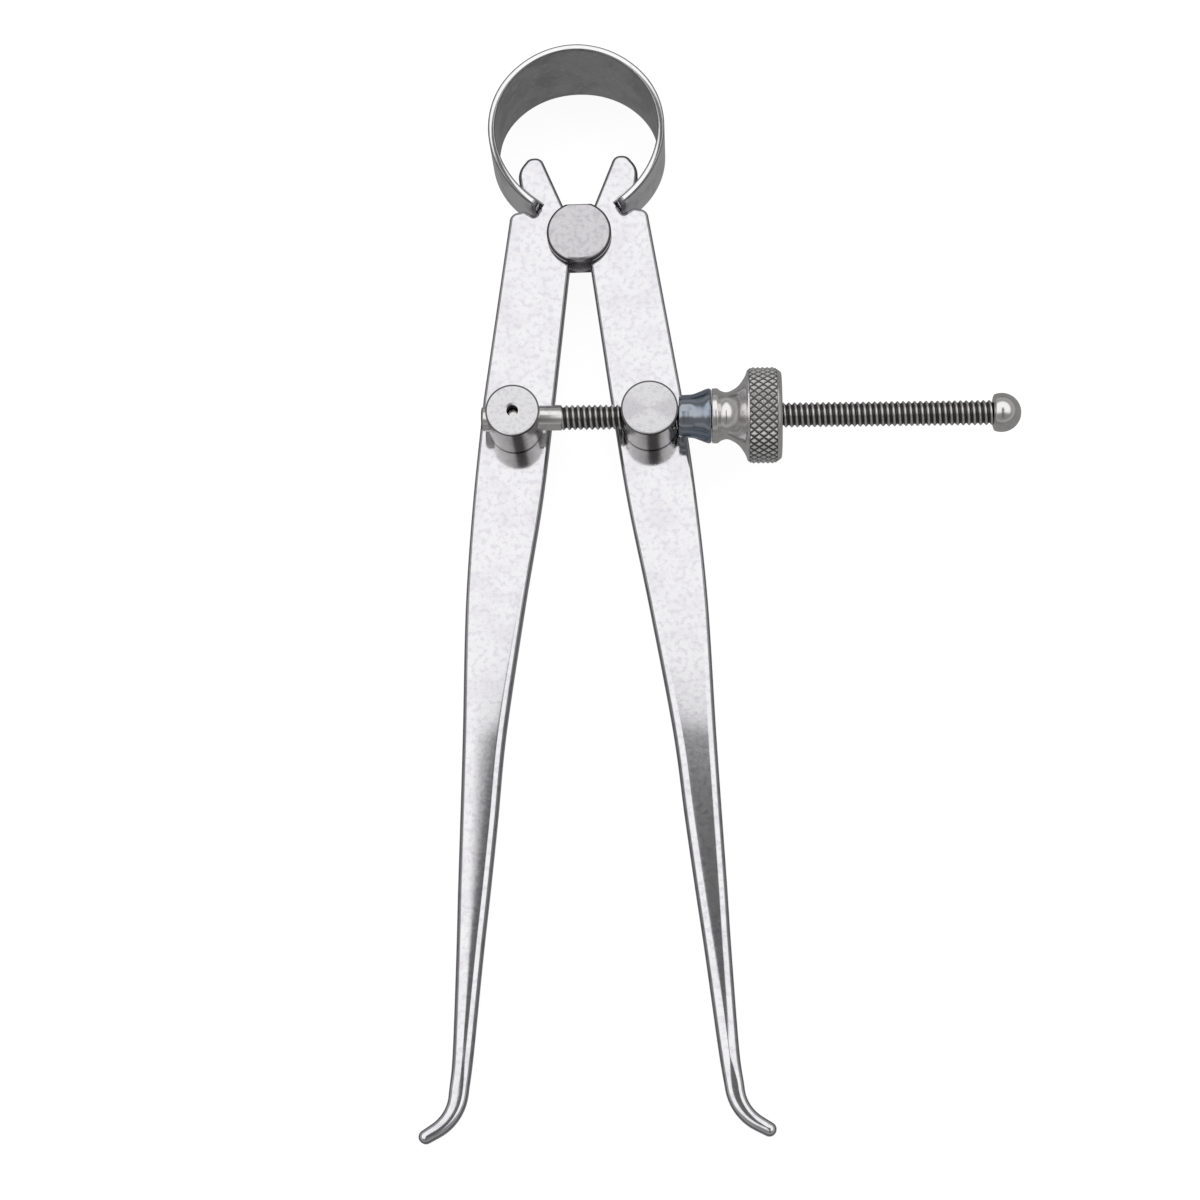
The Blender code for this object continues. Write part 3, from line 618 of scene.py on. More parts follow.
def turned_side(name, radius):
    """A post's side: brownish steel, kept much darker than the face's as painted shade, with fine lathe marks round
    it.
    Painted shade darkens it where it rounds into the face, and a painted shadow runs along its foot on the leg.
    """
    # Darker than the face's steel: painted shade.
    steel = Steel(name, (0.29, 0.275, 0.27), 0.12)
    height = steel.axis("Z")
    marks = steel.rings(height, 0.17)
    steel.tint((0.20, 0.185, 0.18), steel.maths("MULTIPLY", marks, 0.4))
    steel.blotch((0.18, 0.165, 0.16), steel.noise(0.5, 4.0, stretch=(1, 1, 0.5)), 0.5, 0.75, 0.8)
    # Painted shadow: near black along the foot, where the post stands on the leg.
    steel.tint((0.02, 0.018, 0.018), steel.ramp(height, SLIDE_GAP + 0.25, SLIDE_GAP + 0.55, 0.95, 0.0))
    # Painted shade where the side rounds into the face.
    steel.tint(PAINTED_RIM_SHADE, steel.ramp(steel.distance(), radius - 0.07, radius - 0.02, 0.9, 0.0))
    steel.roughen(0.12, steel.noise(1.5))
    steel.raise_by(0.0010, marks)
    return steel.done()


def screw_steel(name):
    """Threads: pale steel, with painted shade darkening them down in the root."""
    steel = Steel(name, (0.88, 0.86, 0.85), 0.16)
    distance = steel.distance(along_x=True)
    valley = steel.ramp(distance, ROOT_RADIUS + 0.08, CREST_RADIUS - 0.01, 1.0, 0.0)
    steel.blotch((0.60, 0.58, 0.56), steel.noise(0.7, 4.0), 0.5, 0.72, 0.6)
    # Painted shade in the thread's root.
    steel.tint((0.035, 0.032, 0.03), steel.maths("MULTIPLY", valley, 0.93))
    steel.roughen(0.20, valley)
    steel.roughen(0.10, steel.noise(2.0))
    steel.raise_by(0.0012, steel.noise(2.4, stretch=(0.3, 1, 1)))
    return steel.done()


def blued_steel(name):
    """The sleeve: dark, smooth and blued unevenly, with fine turning marks."""
    steel = Steel(name, (0.41, 0.44, 0.49), 0.05)
    steel.blotch((0.20, 0.29, 0.42), steel.noise(0.3, stretch=(3, 1, 1)), 0.45, 0.7, 0.8)
    steel.blotch((0.05, 0.05, 0.055), steel.noise(0.9), 0.55, 0.8, 0.5)
    marks = steel.rings(steel.axis("X"), 0.14)
    steel.roughen(0.05, marks)
    steel.raise_by(0.0008, marks)
    return steel.done()


def bright_nickel(name):
    """Nickel plate over turned steel."""
    steel = Steel(name, (0.90, 0.88, 0.87), 0.12)
    steel.blotch((0.66, 0.64, 0.63), steel.noise(0.6, 4.0), 0.48, 0.75, 0.6)
    marks = steel.rings(steel.axis("X"), 0.16)
    steel.roughen(0.05, marks)
    steel.roughen(0.08, steel.noise(1.3))
    steel.raise_by(0.0009, marks)
    steel.raise_by(0.0009, steel.noise(2.6))
    return steel.done()


def knurled_nickel(name):
    """The knurl: pale nickel, with painted shade darkening the grooves."""
    steel = Steel(name, (0.98, 0.97, 0.96), 0.27)
    steel.blotch((0.70, 0.69, 0.68), steel.noise(1.2), 0.5, 0.75, 0.5)
    distance = steel.distance(along_x=True)
    groove = steel.ramp(distance, KNURL_RADIUS - KNURL_DEPTH, KNURL_RADIUS - 0.55 * KNURL_DEPTH, 1.0, 0.0)
    # Painted shade down in the grooves.
    steel.tint((0.05, 0.047, 0.045), steel.maths("MULTIPLY", groove, 0.92))
    steel.roughen(0.2, groove)
    steel.raise_by(0.002, steel.noise(3.0))
    return steel.done()


def painted_hole_shade(name):
    # Painted shade: the pin hole's bore, coloured near black.
    steel = Steel(name, (0.06, 0.055, 0.05), 0.5)
    steel.blotch((0.12, 0.11, 0.10), steel.noise(2.0), 0.45, 0.7, 0.7)
    steel.raise_by(0.002, steel.noise(3.0))
    return steel.done()


# Bow spring


def bow_radius(angle):
    """The bow's middle radius at an angle from its crown. It draws in towards both ends."""
    share = (abs(angle) - BOW_TUCK_START) / (BOW_END_ANGLE - BOW_TUCK_START)
    return BOW_RADIUS - BOW_TUCK * smoothstep(share)


def bow_point(angle, outwards=0.0):
    radius = bow_radius(angle) + outwards
    return Vector((radius * math.sin(angle), BOW_CENTRE + radius * math.cos(angle)))


def bow_half_width(angle):
    """Half of the strip's width, which falls from the crown to the rounded corners of its ends."""
    share = min(abs(angle) / BOW_END_ANGLE, 1.0) ** BOW_TAPER_POWER
    half = blend(BOW_CROWN_WIDTH, BOW_END_WIDTH, share) / 2
    to_end = (BOW_END_ANGLE - abs(angle)) * bow_radius(angle)
    short = max(BOW_CORNER_ROUND - to_end, 0.0)
    return half - BOW_CORNER_ROUND + math.sqrt(BOW_CORNER_ROUND**2 - short**2)


def bow_section(angle, inset=0.0, further=0.0):
    """Points round the strip's section, which may sit further round than the angle that shapes it."""
    half_width = bow_half_width(angle) - inset
    angle += further
    centre = bow_point(angle)
    out = Vector((math.sin(angle), math.cos(angle)))
    half_wall = BOW_THICKNESS / 2 - inset
    round_radius = max(BOW_EDGE_ROUND - inset, 0.02)
    round_steps = 6
    points = []
    for side, face, start in ((1, 1, 0), (-1, 1, 90), (-1, -1, 180), (1, -1, 270)):
        for step in range(round_steps + 1):
            turn = math.radians(start + 90 * step / round_steps)
            across = side * (half_wall - round_radius) + round_radius * math.cos(turn)
            along = face * (half_width - round_radius) + round_radius * math.sin(turn)
            spot = centre + out * across
            points.append((spot.x, spot.y, along - LEG_THICKNESS / 2))
    return points


def make_bow_half(name, side, materials):
    """Half of the bow, from its crown to one hooked end.

    All of it but the crown sits a little further round than in the part, so that the end reaches into its notch."""
    bm = bmesh.new()
    steps = 110
    corner_steps = 7
    lip_steps = 6
    past = side * BOW_OVERRUN / bow_radius(BOW_END_ANGLE)
    corner = BOW_CORNER_ROUND / bow_radius(BOW_END_ANGLE)
    reach = BOW_END_ANGLE - corner
    angles = [reach * k / steps for k in range(1, steps + 1)]
    angles += [reach + corner * math.sin(math.pi / 2 * k / corner_steps) for k in range(1, corner_steps)]
    lip = BOW_EDGE_ROUND
    sections = [bow_section(0.0)]
    sections += [bow_section(side * angle, 0.0, past) for angle in angles]
    for k in range(lip_steps):
        turn = math.pi / 2 * (k + 1) / lip_steps
        angle = BOW_END_ANGLE - lip * (1 - math.sin(turn)) / bow_radius(BOW_END_ANGLE)
        sections.append(bow_section(side * angle, lip * (1 - math.cos(turn)), past))
    rings = [[bm.verts.new(point) for point in section] for section in sections]
    join_all(bm, rings)
    count = len(rings[0])
    quarter = count // 4
    broad = (BOW_RIM, BOW_INSIDE, BOW_RIM, BOW_OUTSIDE)
    broad_spans = {quarter * k - 1: material for k, material in enumerate(broad, 1)}
    # The rounded edges and the hooked end take the edge material, whose darker steel is painted shade.
    for index, face in enumerate(bm.faces):
        at_end = index >= count * steps
        face.material_index = BOW_EDGE if at_end else broad_spans.get(index % count, BOW_EDGE)
    bm.faces.new(rings[0])
    bm.faces.new(rings[-1]).material_index = BOW_EDGE
    piece = add_piece(name, bm, materials, None, LEG_FRAME, sharp=50)
    even_shading(piece)
    hooked = LEG_FRAME @ (Vector((*bow_point(side * BOW_END_ANGLE), -LEG_THICKNESS / 2)) * MM)
    crown = LEG_FRAME @ (Vector((*bow_point(0.0), -LEG_THICKNESS / 2)) * MM)
    crown.x = hooked.x
    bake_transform(piece)
    stand_in(piece, "bow_spring")


# Legs


def taper_share(down):
    """0 where the leg is at its full thickness, 1 at its foot."""
    start = LEG_STATIONS[TAPER_STATION][0]
    return min(max((down - start) / (LEG_STATIONS[-1][0] - start), 0.0), 1.0)


def foot_sides():
    """The foot's inner side, round tip and outer side, each as points of the right leg's outline."""
    down, inner, outer = LEG_STATIONS[-1]
    spot = Vector(((inner + outer) / 2, -down))
    half_width = (outer - inner) / 2
    heading = FOOT_START_ANGLE
    turn = FOOT_TURN_ANGLE - FOOT_START_ANGLE
    bend_steps = 14
    moves = [(FOOT_STRAIGHT / 2, 0.0)] * 2
    moves += [(FOOT_BEND_RADIUS * turn / bend_steps, turn / bend_steps)] * bend_steps
    moves += [(FOOT_LENGTH / 5, 0.0)] * 5
    length = sum(move for move, _ in moves)
    gone = 0.0
    inner_side, outer_side = [], []
    for move, turned_by in moves:
        heading += turned_by / 2
        spot = spot + move * Vector((math.sin(heading), -math.cos(heading)))
        heading += turned_by / 2
        gone += move
        across = blend(half_width, TIP_RADIUS, gone / length) * Vector((math.cos(heading), math.sin(heading)))
        inner_side.append(spot - across)
        outer_side.append(spot + across)
    end_steps = 16
    tip = []
    for step in range(1, end_steps):
        turn = heading - math.pi + math.pi * step / end_steps
        tip.append(spot + TIP_RADIUS * Vector((math.cos(turn), math.sin(turn))))
    return inner_side, tip, outer_side


def head_outline():
    """The right leg's outline above the fulcrum: shoulder, notch for the bow's end, and horn."""
    end = BOW_END_ANGLE
    forward = Vector((math.cos(end), -math.sin(end)))
    top = bow_point(end, -BOW_THICKNESS / 2 - SEAT_GAP) + forward * SEAT_GAP
    outside = bow_point(end, BOW_THICKNESS / 2 + NOTCH_DEPTH)
    bottom = outside + forward * SEAT_GAP
    down, _, outer = LEG_STATIONS[0]
    lip = Vector(((outside - forward * NOTCH_LENGTH).x, SHOULDER_TOP))
    shoulder = lip + Vector((SHOULDER_LEDGE, -SHOULDER_FALL))
    hug = [blend(BOW_END_ANGLE, HORN_HUG_ANGLE, k / 10) for k in range(11)]
    hug_points = [bow_point(angle, -BOW_THICKNESS / 2 - SEAT_GAP) for angle in hug]
    side, horn_out, horn_in, waist = map(Vector, (HORN_SIDE, HORN_OUTER, HORN_INNER, WAIST))
    points = rounded_corner(Vector((outer, -down)), shoulder, lip, SHOULDER_ROUND, 12)
    points += rounded_corner(shoulder, lip, bottom, LEG_EDGE_ROUND + 0.05, 6)
    points += rounded_corner(lip, bottom, top, NOTCH_ROUND, 4)
    points += [top, *hug_points[1:]]
    points += rounded_corner(hug_points[-1], side, horn_out, HORN_SIDE_ROUND, 10)
    points += rounded_corner(side, horn_out, horn_in, HORN_ROUND, 8)
    points += rounded_corner(horn_out, horn_in, waist, HORN_ROUND, 10)
    return [*points, waist]


def inward_normals(outline):
    """For each point, the move that shifts both of its sides inwards by 1, held back at sharp corners."""
    normals = []
    for before, here, after in zip([outline[-1], *outline], outline, [*outline[1:], outline[0]]):
        first = (here - before).normalized()
        second = (after - here).normalized()
        middle = (first + second).normalized()
        normals.append(Vector((-middle.y, middle.x)) / max(middle.dot(first), 0.6))
    return normals


def edge_width(down):
    """How far in from the outline the rounded edge reaches. It is a broad bevel low on the leg."""
    start, end = EDGE_WIDENS
    wide = blend(LEG_EDGE_ROUND, EDGE_WIDEST, smoothstep((down - start) / (end - start)))
    foot = smoothstep((down - LEG_STATIONS[-2][0]) / (LEG_STATIONS[-1][0] - LEG_STATIONS[-2][0]))
    return blend(wide, TIP_EDGE_WIDTH, foot)


def crowned_line(bm, start, end, crown):
    """Points across a flat, which is higher along its middle by the crown."""
    line = [start]
    for share in (0.15, 0.3, 0.5, 0.7, 0.85):
        spot = start.co.lerp(end.co, share)
        spot.z += crown * (1 - (2 * share - 1) ** 2)
        line.append(bm.verts.new(spot))
    return [*line, end]


def leg_mesh():
    """The right leg: a plate with rounded edges that grow towards the tip, and flats split in rows of quads."""
    per_span = 9
    outer = curve_through([(outside, -down) for down, _, outside in LEG_STATIONS], per_span)
    inner = curve_through([(inside, -down) for down, inside, _ in LEG_STATIONS], per_span)
    foot_inner, tip, foot_outer = foot_sides()
    outer += foot_outer
    inner += foot_inner
    head = head_outline()
    outline = [*reversed(outer), *head, *inner, *tip]
    normals = inward_normals(outline)
    bm = bmesh.new()
    rings = []
    round_steps = 8
    for face_side in (-1, 1):
        steps = range(round_steps + 1)
        for step in reversed(steps) if face_side < 0 else steps:
            turn = math.pi / 2 * step / round_steps
            ring = []
            for point, normal in zip(outline, normals):
                share = taper_share(-point.y)
                edge_round = blend(LEG_EDGE_ROUND, TIP_EDGE_ROUND, share)
                half = blend(LEG_THICKNESS, TIP_THICKNESS, share) / 2
                spot = point + normal * edge_width(-point.y) * (1 - math.cos(turn))
                height = face_side * (half - edge_round + edge_round * math.sin(turn))
                ring.append(bm.verts.new((spot.x, spot.y, height - LEG_THICKNESS / 2)))
            rings.append(ring)
    # The middle rings of each rounded edge take the edge material, whose darker steel is painted shade.
    for k, (ring, following) in enumerate(zip(rings, rings[1:])):
        on_edge = abs(k - round_steps) <= DARK_EDGE_STEPS
        join_rings(bm, ring, following, LEG_EDGE if on_edge else LEG_FLAT)
    rows = len(outer)
    first_inner = rows + len(head)
    crown_start, crown_full = CROWN_GROWS
    for face_side, ring in ((-1, rings[0]), (1, rings[-1])):
        lines = []
        for k in range(rows):
            ends = ring[rows - 1 - k], ring[first_inner + k]
            grown = smoothstep((-ends[0].co.y - crown_start) / (crown_full - crown_start))
            lines.append(crowned_line(bm, *ends, face_side * FLAT_CROWN * grown if k else 0.0))
        for line, following in zip(lines, lines[1:]):
            for a, b, c, d in zip(line, line[1:], following[1:], following):
                bm.faces.new((a, b, c, d))
        bm.faces.new([ring[rows - 1], *ring[rows:first_inner], ring[first_inner], *reversed(lines[0][1:-1])])
        bm.faces.new([*lines[-1], *ring[first_inner + rows :]])
    return bm


def make_leg(node, side, materials):
    """A leg, whose body has the name of its node."""
    bm = leg_mesh()
    for vert in bm.verts:
        vert.co.x *= side
    leg = add_piece(node + "_plated", bm, materials, node, LEG_FRAME)
    back = -LEG_THICKNESS
    seat_radius = CORE_RADIUS + TURN_GAP
    seat = turned([(0, back - 1), (seat_radius, back - 1), (seat_radius, 1), (0, 1)], 96)
    hole = JOURNAL_RADIUS + TURN_GAP
    flare = RIVET_RADIUS + TURN_GAP
    step = back + RIVET_DEPTH + TURN_GAP
    profile = [(0, 1), (hole, 1), (hole, step), (flare, back), (flare, back - 1), (0, back - 1)]
    bearing = add_mesh("bearing", turned(profile, 64), place(side * POST_OUT, -POST_DOWN))
    carve(leg, [add_mesh("seat", seat, LEG_FRAME), bearing])
    stand_in(leg, node)


# Fulcrum and posts


def make_fulcrum_stud(materials):
    """The spool. The inner ring on each face keeps the rounded edge's shading close to the edge."""
    top = SLIDE_GAP + FLANGE_THICKNESS
    front = [(0, top), (FLANGE_RADIUS - 1.0, top), (FLANGE_RADIUS, top)]
    front += [(FLANGE_RADIUS, SLIDE_GAP), (CORE_RADIUS, SLIDE_GAP)]
    profile = [*front, *((radius, -LEG_THICKNESS - height) for radius, height in reversed(front))]
    stud = add_piece("fulcrum_spool", turned(profile, 192), materials, "fulcrum", LEG_FRAME)
    flats = []
    block = 12
    for side in (1, -1):
        bm = bmesh.new()
        bmesh.ops.create_cube(bm, size=block)
        bmesh.ops.translate(bm, vec=(0, side * (FLANGE_FLAT + block / 2), 0), verts=bm.verts)
        flats.append(add_mesh("flat", bm, LEG_FRAME))
    carve(stud, flats, bevel=FLANGE_ROUND)
    stand_in(stud, "fulcrum_stud")


def make_post(node, side, radius, height, hole_radius, materials):
    """A turned post with a cross hole for the screw. Its materials are for its face, its side and its pin hole."""
    pin_hole = node == "left_post"
    back = -LEG_THICKNESS
    profile = [
        (0, height),
        (radius - 0.6, height),
        (radius, height),
        (radius, SLIDE_GAP),
        (JOURNAL_RADIUS, SLIDE_GAP),
        (JOURNAL_RADIUS, back + RIVET_DEPTH),
        (RIVET_RADIUS, back),
        (RIVET_RADIUS - RIVET_PROUD, back - RIVET_PROUD),
        (0, back - RIVET_PROUD),
    ]
    at = place(side * POST_OUT, -POST_DOWN, turn=SCREW_SLANT)
    marks = (POST_FACE, POST_FACE, *[POST_SIDE] * 5, POST_FACE)
    if pin_hole:
        bottom = SCREW_HEIGHT - SHANK_RADIUS - PIN_PAST - SLIDE_GAP
        bore = PIN_RADIUS + TURN_GAP
        profile[:1] = [(0, bottom), (bore, bottom), (bore, height), (bore + 0.6, height)]
        marks = (POST_HOLE, POST_HOLE, POST_FACE, *marks)
    # The pin makes the left post and the screw one body
    body = "screw" if pin_hole else "right_post"
    post = add_piece(node + "_turned", turned(profile, 128, marks=marks), materials, body, at)
    reach = radius + 1
    drill = along_x(turned([(0, -reach), (hole_radius, -reach), (hole_radius, reach), (0, reach)], 64))
    cross_hole = add_mesh("cross_hole", drill, at @ Matrix.Translation((0, 0, SCREW_HEIGHT * MM)))
    carve(post, [cross_hole], bevel=POST_ROUND)
    stand_in(post, node)


def make_lock_pin(material):
    bottom = SCREW_HEIGHT - SHANK_RADIUS - PIN_PAST
    top = LEFT_POST_HEIGHT - PIN_SUNK
    profile = soften([(0, bottom), (PIN_RADIUS, bottom), (PIN_RADIUS, top), (0, top)], PIN_ROUND)
    at = place(-POST_OUT, -POST_DOWN, turn=SCREW_SLANT)
    stand_in(add_piece("lock_pin_ground", turned(profile, 48), [material], "screw", at), "screw_lock_pin")


# Screw, ball, collar and nut


def screw_place(along=0.0):
    """On the screw's axis, that far from the left post's axis."""
    spot = Vector((along, 0, SCREW_HEIGHT)) * MM
    return place(-POST_OUT, -POST_DOWN, turn=SCREW_SLANT) @ Matrix.Translation(spot)


def thread_rise(turn_count):
    """1 along the thread, falling to 0 over its first and last turns."""
    return min(max(4 * turn_count, 0.0), max(4 * (THREAD_TURNS - turn_count), 0.0), 1.0)


def make_thread(start):
    """The thread's surface as one helical sheet, whose ends the shank and the spigot close. Also gives its lines of
    points, the steps in a turn and the steps in all."""
    bm = bmesh.new()
    steps = 40
    # Across one pitch: place from 0 to 1, and height from 0 at the root to 1 at the crest
    flank = [(0.07, 0.03), (0.13, 0.14), (0.40, 0.90), (0.44, 0.98)]
    profile = [(0.0, 0.0), *flank, (0.50, 1.0), *((1 - share, rise) for share, rise in reversed(flank))]
    total = THREAD_TURNS * steps
    lines = []
    for share, rise in profile:
        line = []
        for step in range(total + steps + 1 if share == 0.0 else total + 1):
            angle = math.tau * step / steps
            radius = blend(ROOT_RADIUS, CREST_RADIUS, rise * thread_rise(step / steps))
            line.append(vert_about_x(bm, start + THREAD_PITCH * (step / steps + share), radius, angle))
        lines.append(line)
    for line, following in zip(lines, lines[1:]):
        for step in range(total):
            bm.faces.new((line[step], line[step + 1], following[step + 1], following[step]))
    roots, last = lines[0], lines[-1]
    for step in range(total):
        bm.faces.new((last[step], last[step + 1], roots[step + steps + 1], roots[step + steps]))
    return bm, lines, steps, total


def make_screw(material):
    """The shank, the thread and the spigot in the ball, as one piece. Gives where the ball sits, from the left post's
    axis."""
    thread_start = LEFT_POST_RADIUS + SHANK_REACH
    end = thread_start + SHANK_RADIUS - ROOT_RADIUS + THREAD_PITCH * (THREAD_TURNS - 1)
    neck = thread_start - THREAD_HIDDEN
    bm, lines, steps, total = make_thread(neck)
    low = -LEFT_POST_RADIUS - SHANK_STUB
    profile = [
        (SHANK_RADIUS - SHANK_CHAMFER - 0.1, low),
        (SHANK_RADIUS - SHANK_CHAMFER, low + 0.02),
        (SHANK_RADIUS - 0.04, low + SHANK_CHAMFER - 0.03),
        (SHANK_RADIUS, low + SHANK_CHAMFER + 0.06),
        (SHANK_RADIUS, thread_start - 0.25),
        (SHANK_RADIUS - 0.05, thread_start - 0.08),
        (ROOT_RADIUS + 0.1, thread_start + 0.02),
        (ROOT_RADIUS, neck - 0.02),
    ]
    rings = [ring_about_x(bm, radius, along, steps) for radius, along in profile]
    bm.faces.new(rings[0])
    join_all(bm, rings)
    roots = lines[0]
    neck_ring = rings[-1]
    for k in range(steps - 1):
        bm.faces.new((neck_ring[k], neck_ring[k + 1], roots[k + 1], roots[k]))
    opening = [line[0] for line in lines[1:]]
    bm.faces.new((neck_ring[-1], neck_ring[0], roots[0], *opening, roots[steps], roots[steps - 1]))
    last_ring = ring_about_x(bm, ROOT_RADIUS, end + SPIGOT_START, steps)
    closing = [line[total] for line in reversed(lines[1:])]
    bm.faces.new((roots[total], roots[total + 1], last_ring[1], last_ring[0], roots[total + steps], *closing))
    for k in range(1, steps):
        bm.faces.new((roots[total + k], roots[total + k + 1], last_ring[(k + 1) % steps], last_ring[k]))
    spigot_end = ring_about_x(bm, ROOT_RADIUS, end + SPIGOT_END, steps)
    join_rings(bm, last_ring, spigot_end)
    bm.faces.new(spigot_end)
    stand_in(add_piece("screw_threaded", bm, [material], "screw", screw_place(), sharp=45), "adjusting_screw")
    return end


def make_ball(along, material):
    """The domed end: a ball cut flat, with a rounded rim and a socket for the spigot."""
    rim_angle = math.pi - math.acos(BALL_FLAT / BALL_RADIUS)
    flat_radius = BALL_RADIUS * math.sin(rim_angle) - BALL_EDGE_ROUND - 0.2
    first = rim_angle - BALL_EDGE_ROUND / BALL_RADIUS
    socket = ROOT_RADIUS + TURN_GAP
    mouth = 0.15
    rim_steps = 6
    arc = 40
    profile = [(0, BALL_SOCKET_DEPTH), (socket, BALL_SOCKET_DEPTH), (socket, mouth), (socket + mouth, 0)]
    profile.append((flat_radius, 0))
    corner = (BALL_RADIUS * math.sin(first), BALL_FLAT + BALL_RADIUS * math.cos(first))
    for k in range(1, rim_steps):
        turn = math.pi / 2 * k / rim_steps
        profile.append((blend(flat_radius, corner[0], math.sin(turn)), blend(corner[1], 0.0, math.cos(turn))))
    for k in range(arc):
        angle = first * (1 - k / arc)
        profile.append((BALL_RADIUS * math.sin(angle), BALL_FLAT + BALL_RADIUS * math.cos(angle)))
    profile.append((0, BALL_FLAT + BALL_RADIUS))
    ball = add_piece("ball_end", along_x(turned(profile, 96)), [material], "screw", screw_place(along), sharp=50)
    stand_in(ball, "end_button")


def make_collar(material):
    """The sleeve, longer at both ends than in the part, so that it seems to touch the post and the nut."""
    bore = CREST_RADIUS + TURN_GAP
    swell = NUT_RIM_RADIUS
    length = COLLAR_LENGTH + SEAT_GAP - COLLAR_GAP
    slim = COLLAR_NOSE_RADIUS
    outside = [
        (slim, 0.1),
        (slim + 0.03, 0.2 * length),
        (blend(slim, swell, 0.12), 0.4 * length),
        (blend(slim, swell, 0.5), 0.62 * length),
        (blend(slim, swell, 0.9), 0.82 * length),
        (swell, 0.93 * length),
        (blend(slim, swell, 0.86), length - 0.05),
    ]
    nose = -SEAT_GAP + COLLAR_GAP
    profile = [(bore, nose), (slim - 0.25, nose), (slim - 0.12, nose + 0.03), *curve_through(outside, 6)]
    profile += [(blend(slim, swell, 0.7), length), (bore, length)]
    at = screw_place(2 * POST_OUT + RIGHT_POST_RADIUS + SEAT_GAP)
    collar = add_piece("collar_blued", along_x(turned(profile, 128, closed=True)), [material], "collar", at)
    stand_in(collar, "thrust_collar")


def knurl_depth(row, column, cell):
    """Depth of the crossed V grooves: 0 on a diamond's point, 1 down in a groove, flat on the point."""
    first = abs(((row + column) / (2 * cell)) % 1.0 - 0.5) * 2
    second = abs(((row - column) / (2 * cell)) % 1.0 - 0.5) * 2
    return min(max(first, second) * 1.12, 1.0)


def make_nut(materials):
    """The nut. Its first material is for its smooth faces, and the second for the knurl."""
    bm = bmesh.new()
    cell = 6
    steps = 2 * KNURL_LINES * cell
    bore = CREST_RADIUS + TURN_GAP
    rim = NUT_RIM_RADIUS
    groove = KNURL_RADIUS - KNURL_DEPTH
    waist = NUT_WAIST_RADIUS
    neck = NUT_NECK_LENGTH
    outside = [
        (rim, 0.12),
        (rim, NUT_RIM_WIDTH),
        (blend(waist, rim, 0.35), 0.25 * neck),
        (waist, 0.40 * neck),
        (blend(waist, KNURL_RADIUS, 0.09), 0.57 * neck),
        (blend(waist, KNURL_RADIUS, 0.28), 0.74 * neck),
        (blend(waist, KNURL_RADIUS, 0.62), 0.895 * neck),
        (groove - 0.05, 0.965 * neck),
    ]
    profile = [(bore, BORE_CHAMFER), (bore + BORE_CHAMFER, 0), (rim - 0.16, 0), (rim - 0.05, 0.04)]
    profile += curve_through(outside, 7)
    rings = [ring_about_x(bm, radius, along, steps) for radius, along in profile]
    join_all(bm, rings)
    rows = KNURL_ROWS * cell
    fade_rows = 2
    knurl = []
    for row in range(rows + 1):
        along = neck + row * KNURL_HALF_PITCH / cell
        edge = min(row, rows - row) / fade_rows
        ring = []
        for column in range(steps):
            depth = max(knurl_depth(row, column, cell), 1.0 - edge)
            radius = KNURL_RADIUS - KNURL_DEPTH * depth
            ring.append(vert_about_x(bm, along, radius, math.tau * column / steps))
        knurl.append(ring)
    join_rings(bm, rings[-1], knurl[0])
    for row in range(rows):
        ring, following = knurl[row], knurl[row + 1]
        for k in range(steps):
            after = (k + 1) % steps
            rising = ((row + k) // cell + (row - k) // cell) % 2 == 0
            along_first = ((row + k) % (2 * cell) < cell) == ((row - k) % (2 * cell) < cell)
            if along_first or rising:
                halves = (ring[k], ring[after], following[after]), (ring[k], following[after], following[k])
            else:
                halves = (ring[k], ring[after], following[k]), (ring[after], following[after], following[k])
            for corners in halves:
                bm.faces.new(corners).material_index = NUT_KNURL
    knurl_end = neck + KNURL_ROWS * KNURL_HALF_PITCH
    end = knurl_end + NUT_END_CHAMFER
    face = KNURL_RADIUS - NUT_END_CHAMFER
    tail = [
        (groove, knurl_end + 0.06),
        (groove - 0.10, knurl_end + 0.22),
        (face, end - 0.14),
        (face - 0.10, end - 0.04),
        (face - 0.30, end),
        (bore + BORE_CHAMFER, end),
        (bore, end - BORE_CHAMFER),
    ]
    join_all(bm, [knurl[-1], *(ring_about_x(bm, radius, along, steps) for radius, along in tail), rings[0]])
    at = screw_place(2 * POST_OUT + RIGHT_POST_RADIUS + SEAT_GAP + COLLAR_LENGTH + SEAT_GAP)
    stand_in(add_piece("nut_knurled", bm, materials, "nut", at, sharp=24), "adjusting_nut")


# Studio


def seen_by_camera_only(obj):
    """The backdrop is white to the camera, and the metal mirrors the studio in its place."""
    obj.visible_glossy = obj.visible_diffuse = False
    obj.visible_transmission = obj.visible_shadow = False


def make_backdrop():
    """A pale sheet that the caliper lies on, which curves up far away on all sides."""
    low = cad_box[0][2] - BACKDROP_BELOW * MM
    bm = turned(curve_through(BACKDROP_FLOOR + BACKDROP_RISE, 6), 64)
    material = bpy.data.materials.new("pale_backdrop")
    material.use_nodes = True
    shader = material.node_tree.nodes["Principled BSDF"]
    for socket, value in (
        ("Base Color", (*[BACKDROP_GREY] * 3, 1)),
        ("Roughness", 1.0),
        ("Specular IOR Level", 0.0),
        ("Emission Color", (1, 1, 1, 1)),
        ("Emission Strength", BACKDROP_GLOW),
    ):
        shader.inputs[socket].default_value = value
    backdrop = add_piece("backdrop", bm, [material], None, Matrix.Translation((0, 0, low)))
    seen_by_camera_only(backdrop)


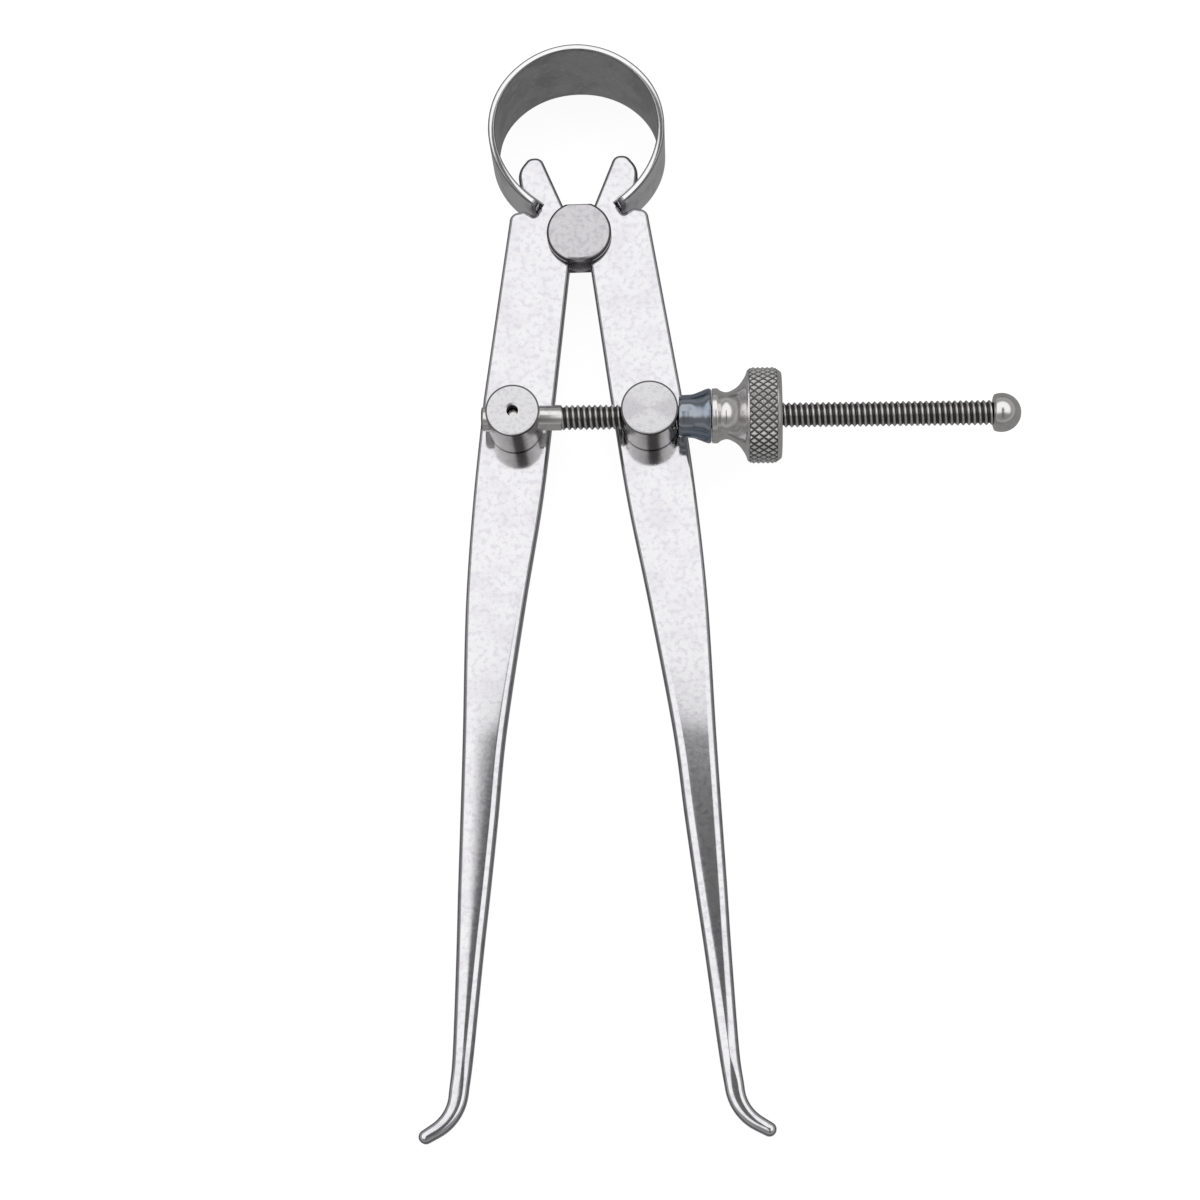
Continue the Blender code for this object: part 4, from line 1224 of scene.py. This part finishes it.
def make_studio():
    """A bright tent round the caliper: the world's grey, from the direction alone. It is dark above the camera, near
    the horizon and below it."""
    world = bpy.data.worlds.new("studio")
    world.use_nodes = True
    tree = world.node_tree
    coordinates = tree.nodes.new("ShaderNodeTexCoord")
    split = tree.nodes.new("ShaderNodeSeparateXYZ")
    tree.links.new(coordinates.outputs["Generated"], split.inputs[0])

    def band(socket, low, high):
        """0 below low, 1 above high, or the reverse where low is the larger."""
        ends = (low, high, 0.0, 1.0) if low < high else (high, low, 1.0, 0.0)
        return step_node(tree, split.outputs[socket], *ends)

    def times(first, second):
        made = tree.nodes.new("ShaderNodeMath")
        made.operation = "MULTIPLY"
        tree.links.new(first, made.inputs[0])
        tree.links.new(second, made.inputs[1])
        return made.outputs[0]

    def between(socket, start, full, full_end, end):
        return times(band(socket, start, full), band(socket, end, full_end))

    def mixed(grey, dark, share):
        """The grey, turning to the number dark where share is 1."""
        made = tree.nodes.new("ShaderNodeMix")
        tree.links.new(share, made.inputs[0])
        tree.links.new(grey, made.inputs[2])
        made.inputs[3].default_value = dark
        return made.outputs[0]

    tent = tree.nodes.new("ShaderNodeValToRGB")
    tree.links.new(split.outputs["Z"], tent.inputs[0])
    stops = tent.color_ramp.elements
    stops[0].color = (*[BELOW_HORIZON] * 3, 1)
    stops[1].color = (*[TENT_TOP] * 3, 1)
    for position, grey in TENT_BANDS:
        stops.new(position).color = (grey, grey, grey, 1)
    camera_shade = times(band("Z", *OVERHEAD), times(between("X", *CAMERA_SHADE_X), between("Y", *CAMERA_SHADE_Y)))
    viewer_side = times(band("Z", *OVERHEAD), band("Y", *reversed(VIEWER_SIDE_Y)))
    light = mixed(mixed(tent.outputs[0], VIEWER_SIDE, viewer_side), CAMERA_SHADE, camera_shade)
    tree.links.new(light, tree.nodes["Background"].inputs["Color"])
    bpy.context.scene.world = world


def make_camera():
    """The photograph's camera: how far, from where, and rolled a little."""
    data = bpy.data.cameras.new("photo_camera")
    data.lens = LENS
    data.sensor_width = SENSOR
    back = VIEW_DIRECTION.normalized()
    up = Vector((0, 1, 0))
    up = (up - back * up.dot(back)).normalized()
    right = up.cross(back)
    turned_right = right * math.cos(VIEW_ROLL) + up * math.sin(VIEW_ROLL)
    turned_up = back.cross(turned_right)
    axes = Matrix((turned_right, turned_up, back)).transposed().to_4x4()
    spot = VIEW_MIDDLE + back * VIEW_DISTANCE
    bpy.context.scene.camera = add_object("photo_camera", data, LEG_FRAME @ Matrix.Translation(spot) @ axes)


def build_caliper():
    chrome = satin_chrome("satin_chrome")
    hole = painted_hole_shade("hole")
    threads = screw_steel("screw_steel")
    edge = painted_edge_shade("painted_edge_shade")
    bow_materials = [spring_steel("bow_inside"), polished_rim("bow_rims"), bow_outside("bow_outside"), edge]
    make_leg("left_leg", -1, [chrome, edge])
    make_leg("right_leg", 1, [chrome, edge])
    make_bow_half("bow_left_half", -1, bow_materials)
    make_bow_half("bow_right_half", 1, bow_materials)
    make_fulcrum_stud([fulcrum_plate("fulcrum_plate")])
    for node, side, radius, height, bore, shine in (
        ("left_post", -1, LEFT_POST_RADIUS, LEFT_POST_HEIGHT, SHANK_RADIUS + TURN_GAP, 0.0),
        ("right_post", 1, RIGHT_POST_RADIUS, RIGHT_POST_HEIGHT, CREST_RADIUS + SLIP_GAP, 0.7),
    ):
        steels = [turned_face(node + "_face", radius, shine), turned_side(node + "_side", radius), hole]
        make_post(node, side, radius, height, bore, steels)
    make_lock_pin(threads)
    thread_end = make_screw(threads)
    make_ball(thread_end, bright_nickel("ball_nickel"))
    make_collar(blued_steel("blued_steel"))
    make_nut([bright_nickel("nut_nickel"), knurled_nickel("nut_knurl")])


build_caliper()
make_camera()
make_backdrop()
make_studio()
bpy.context.scene.view_settings.view_transform = "Standard"
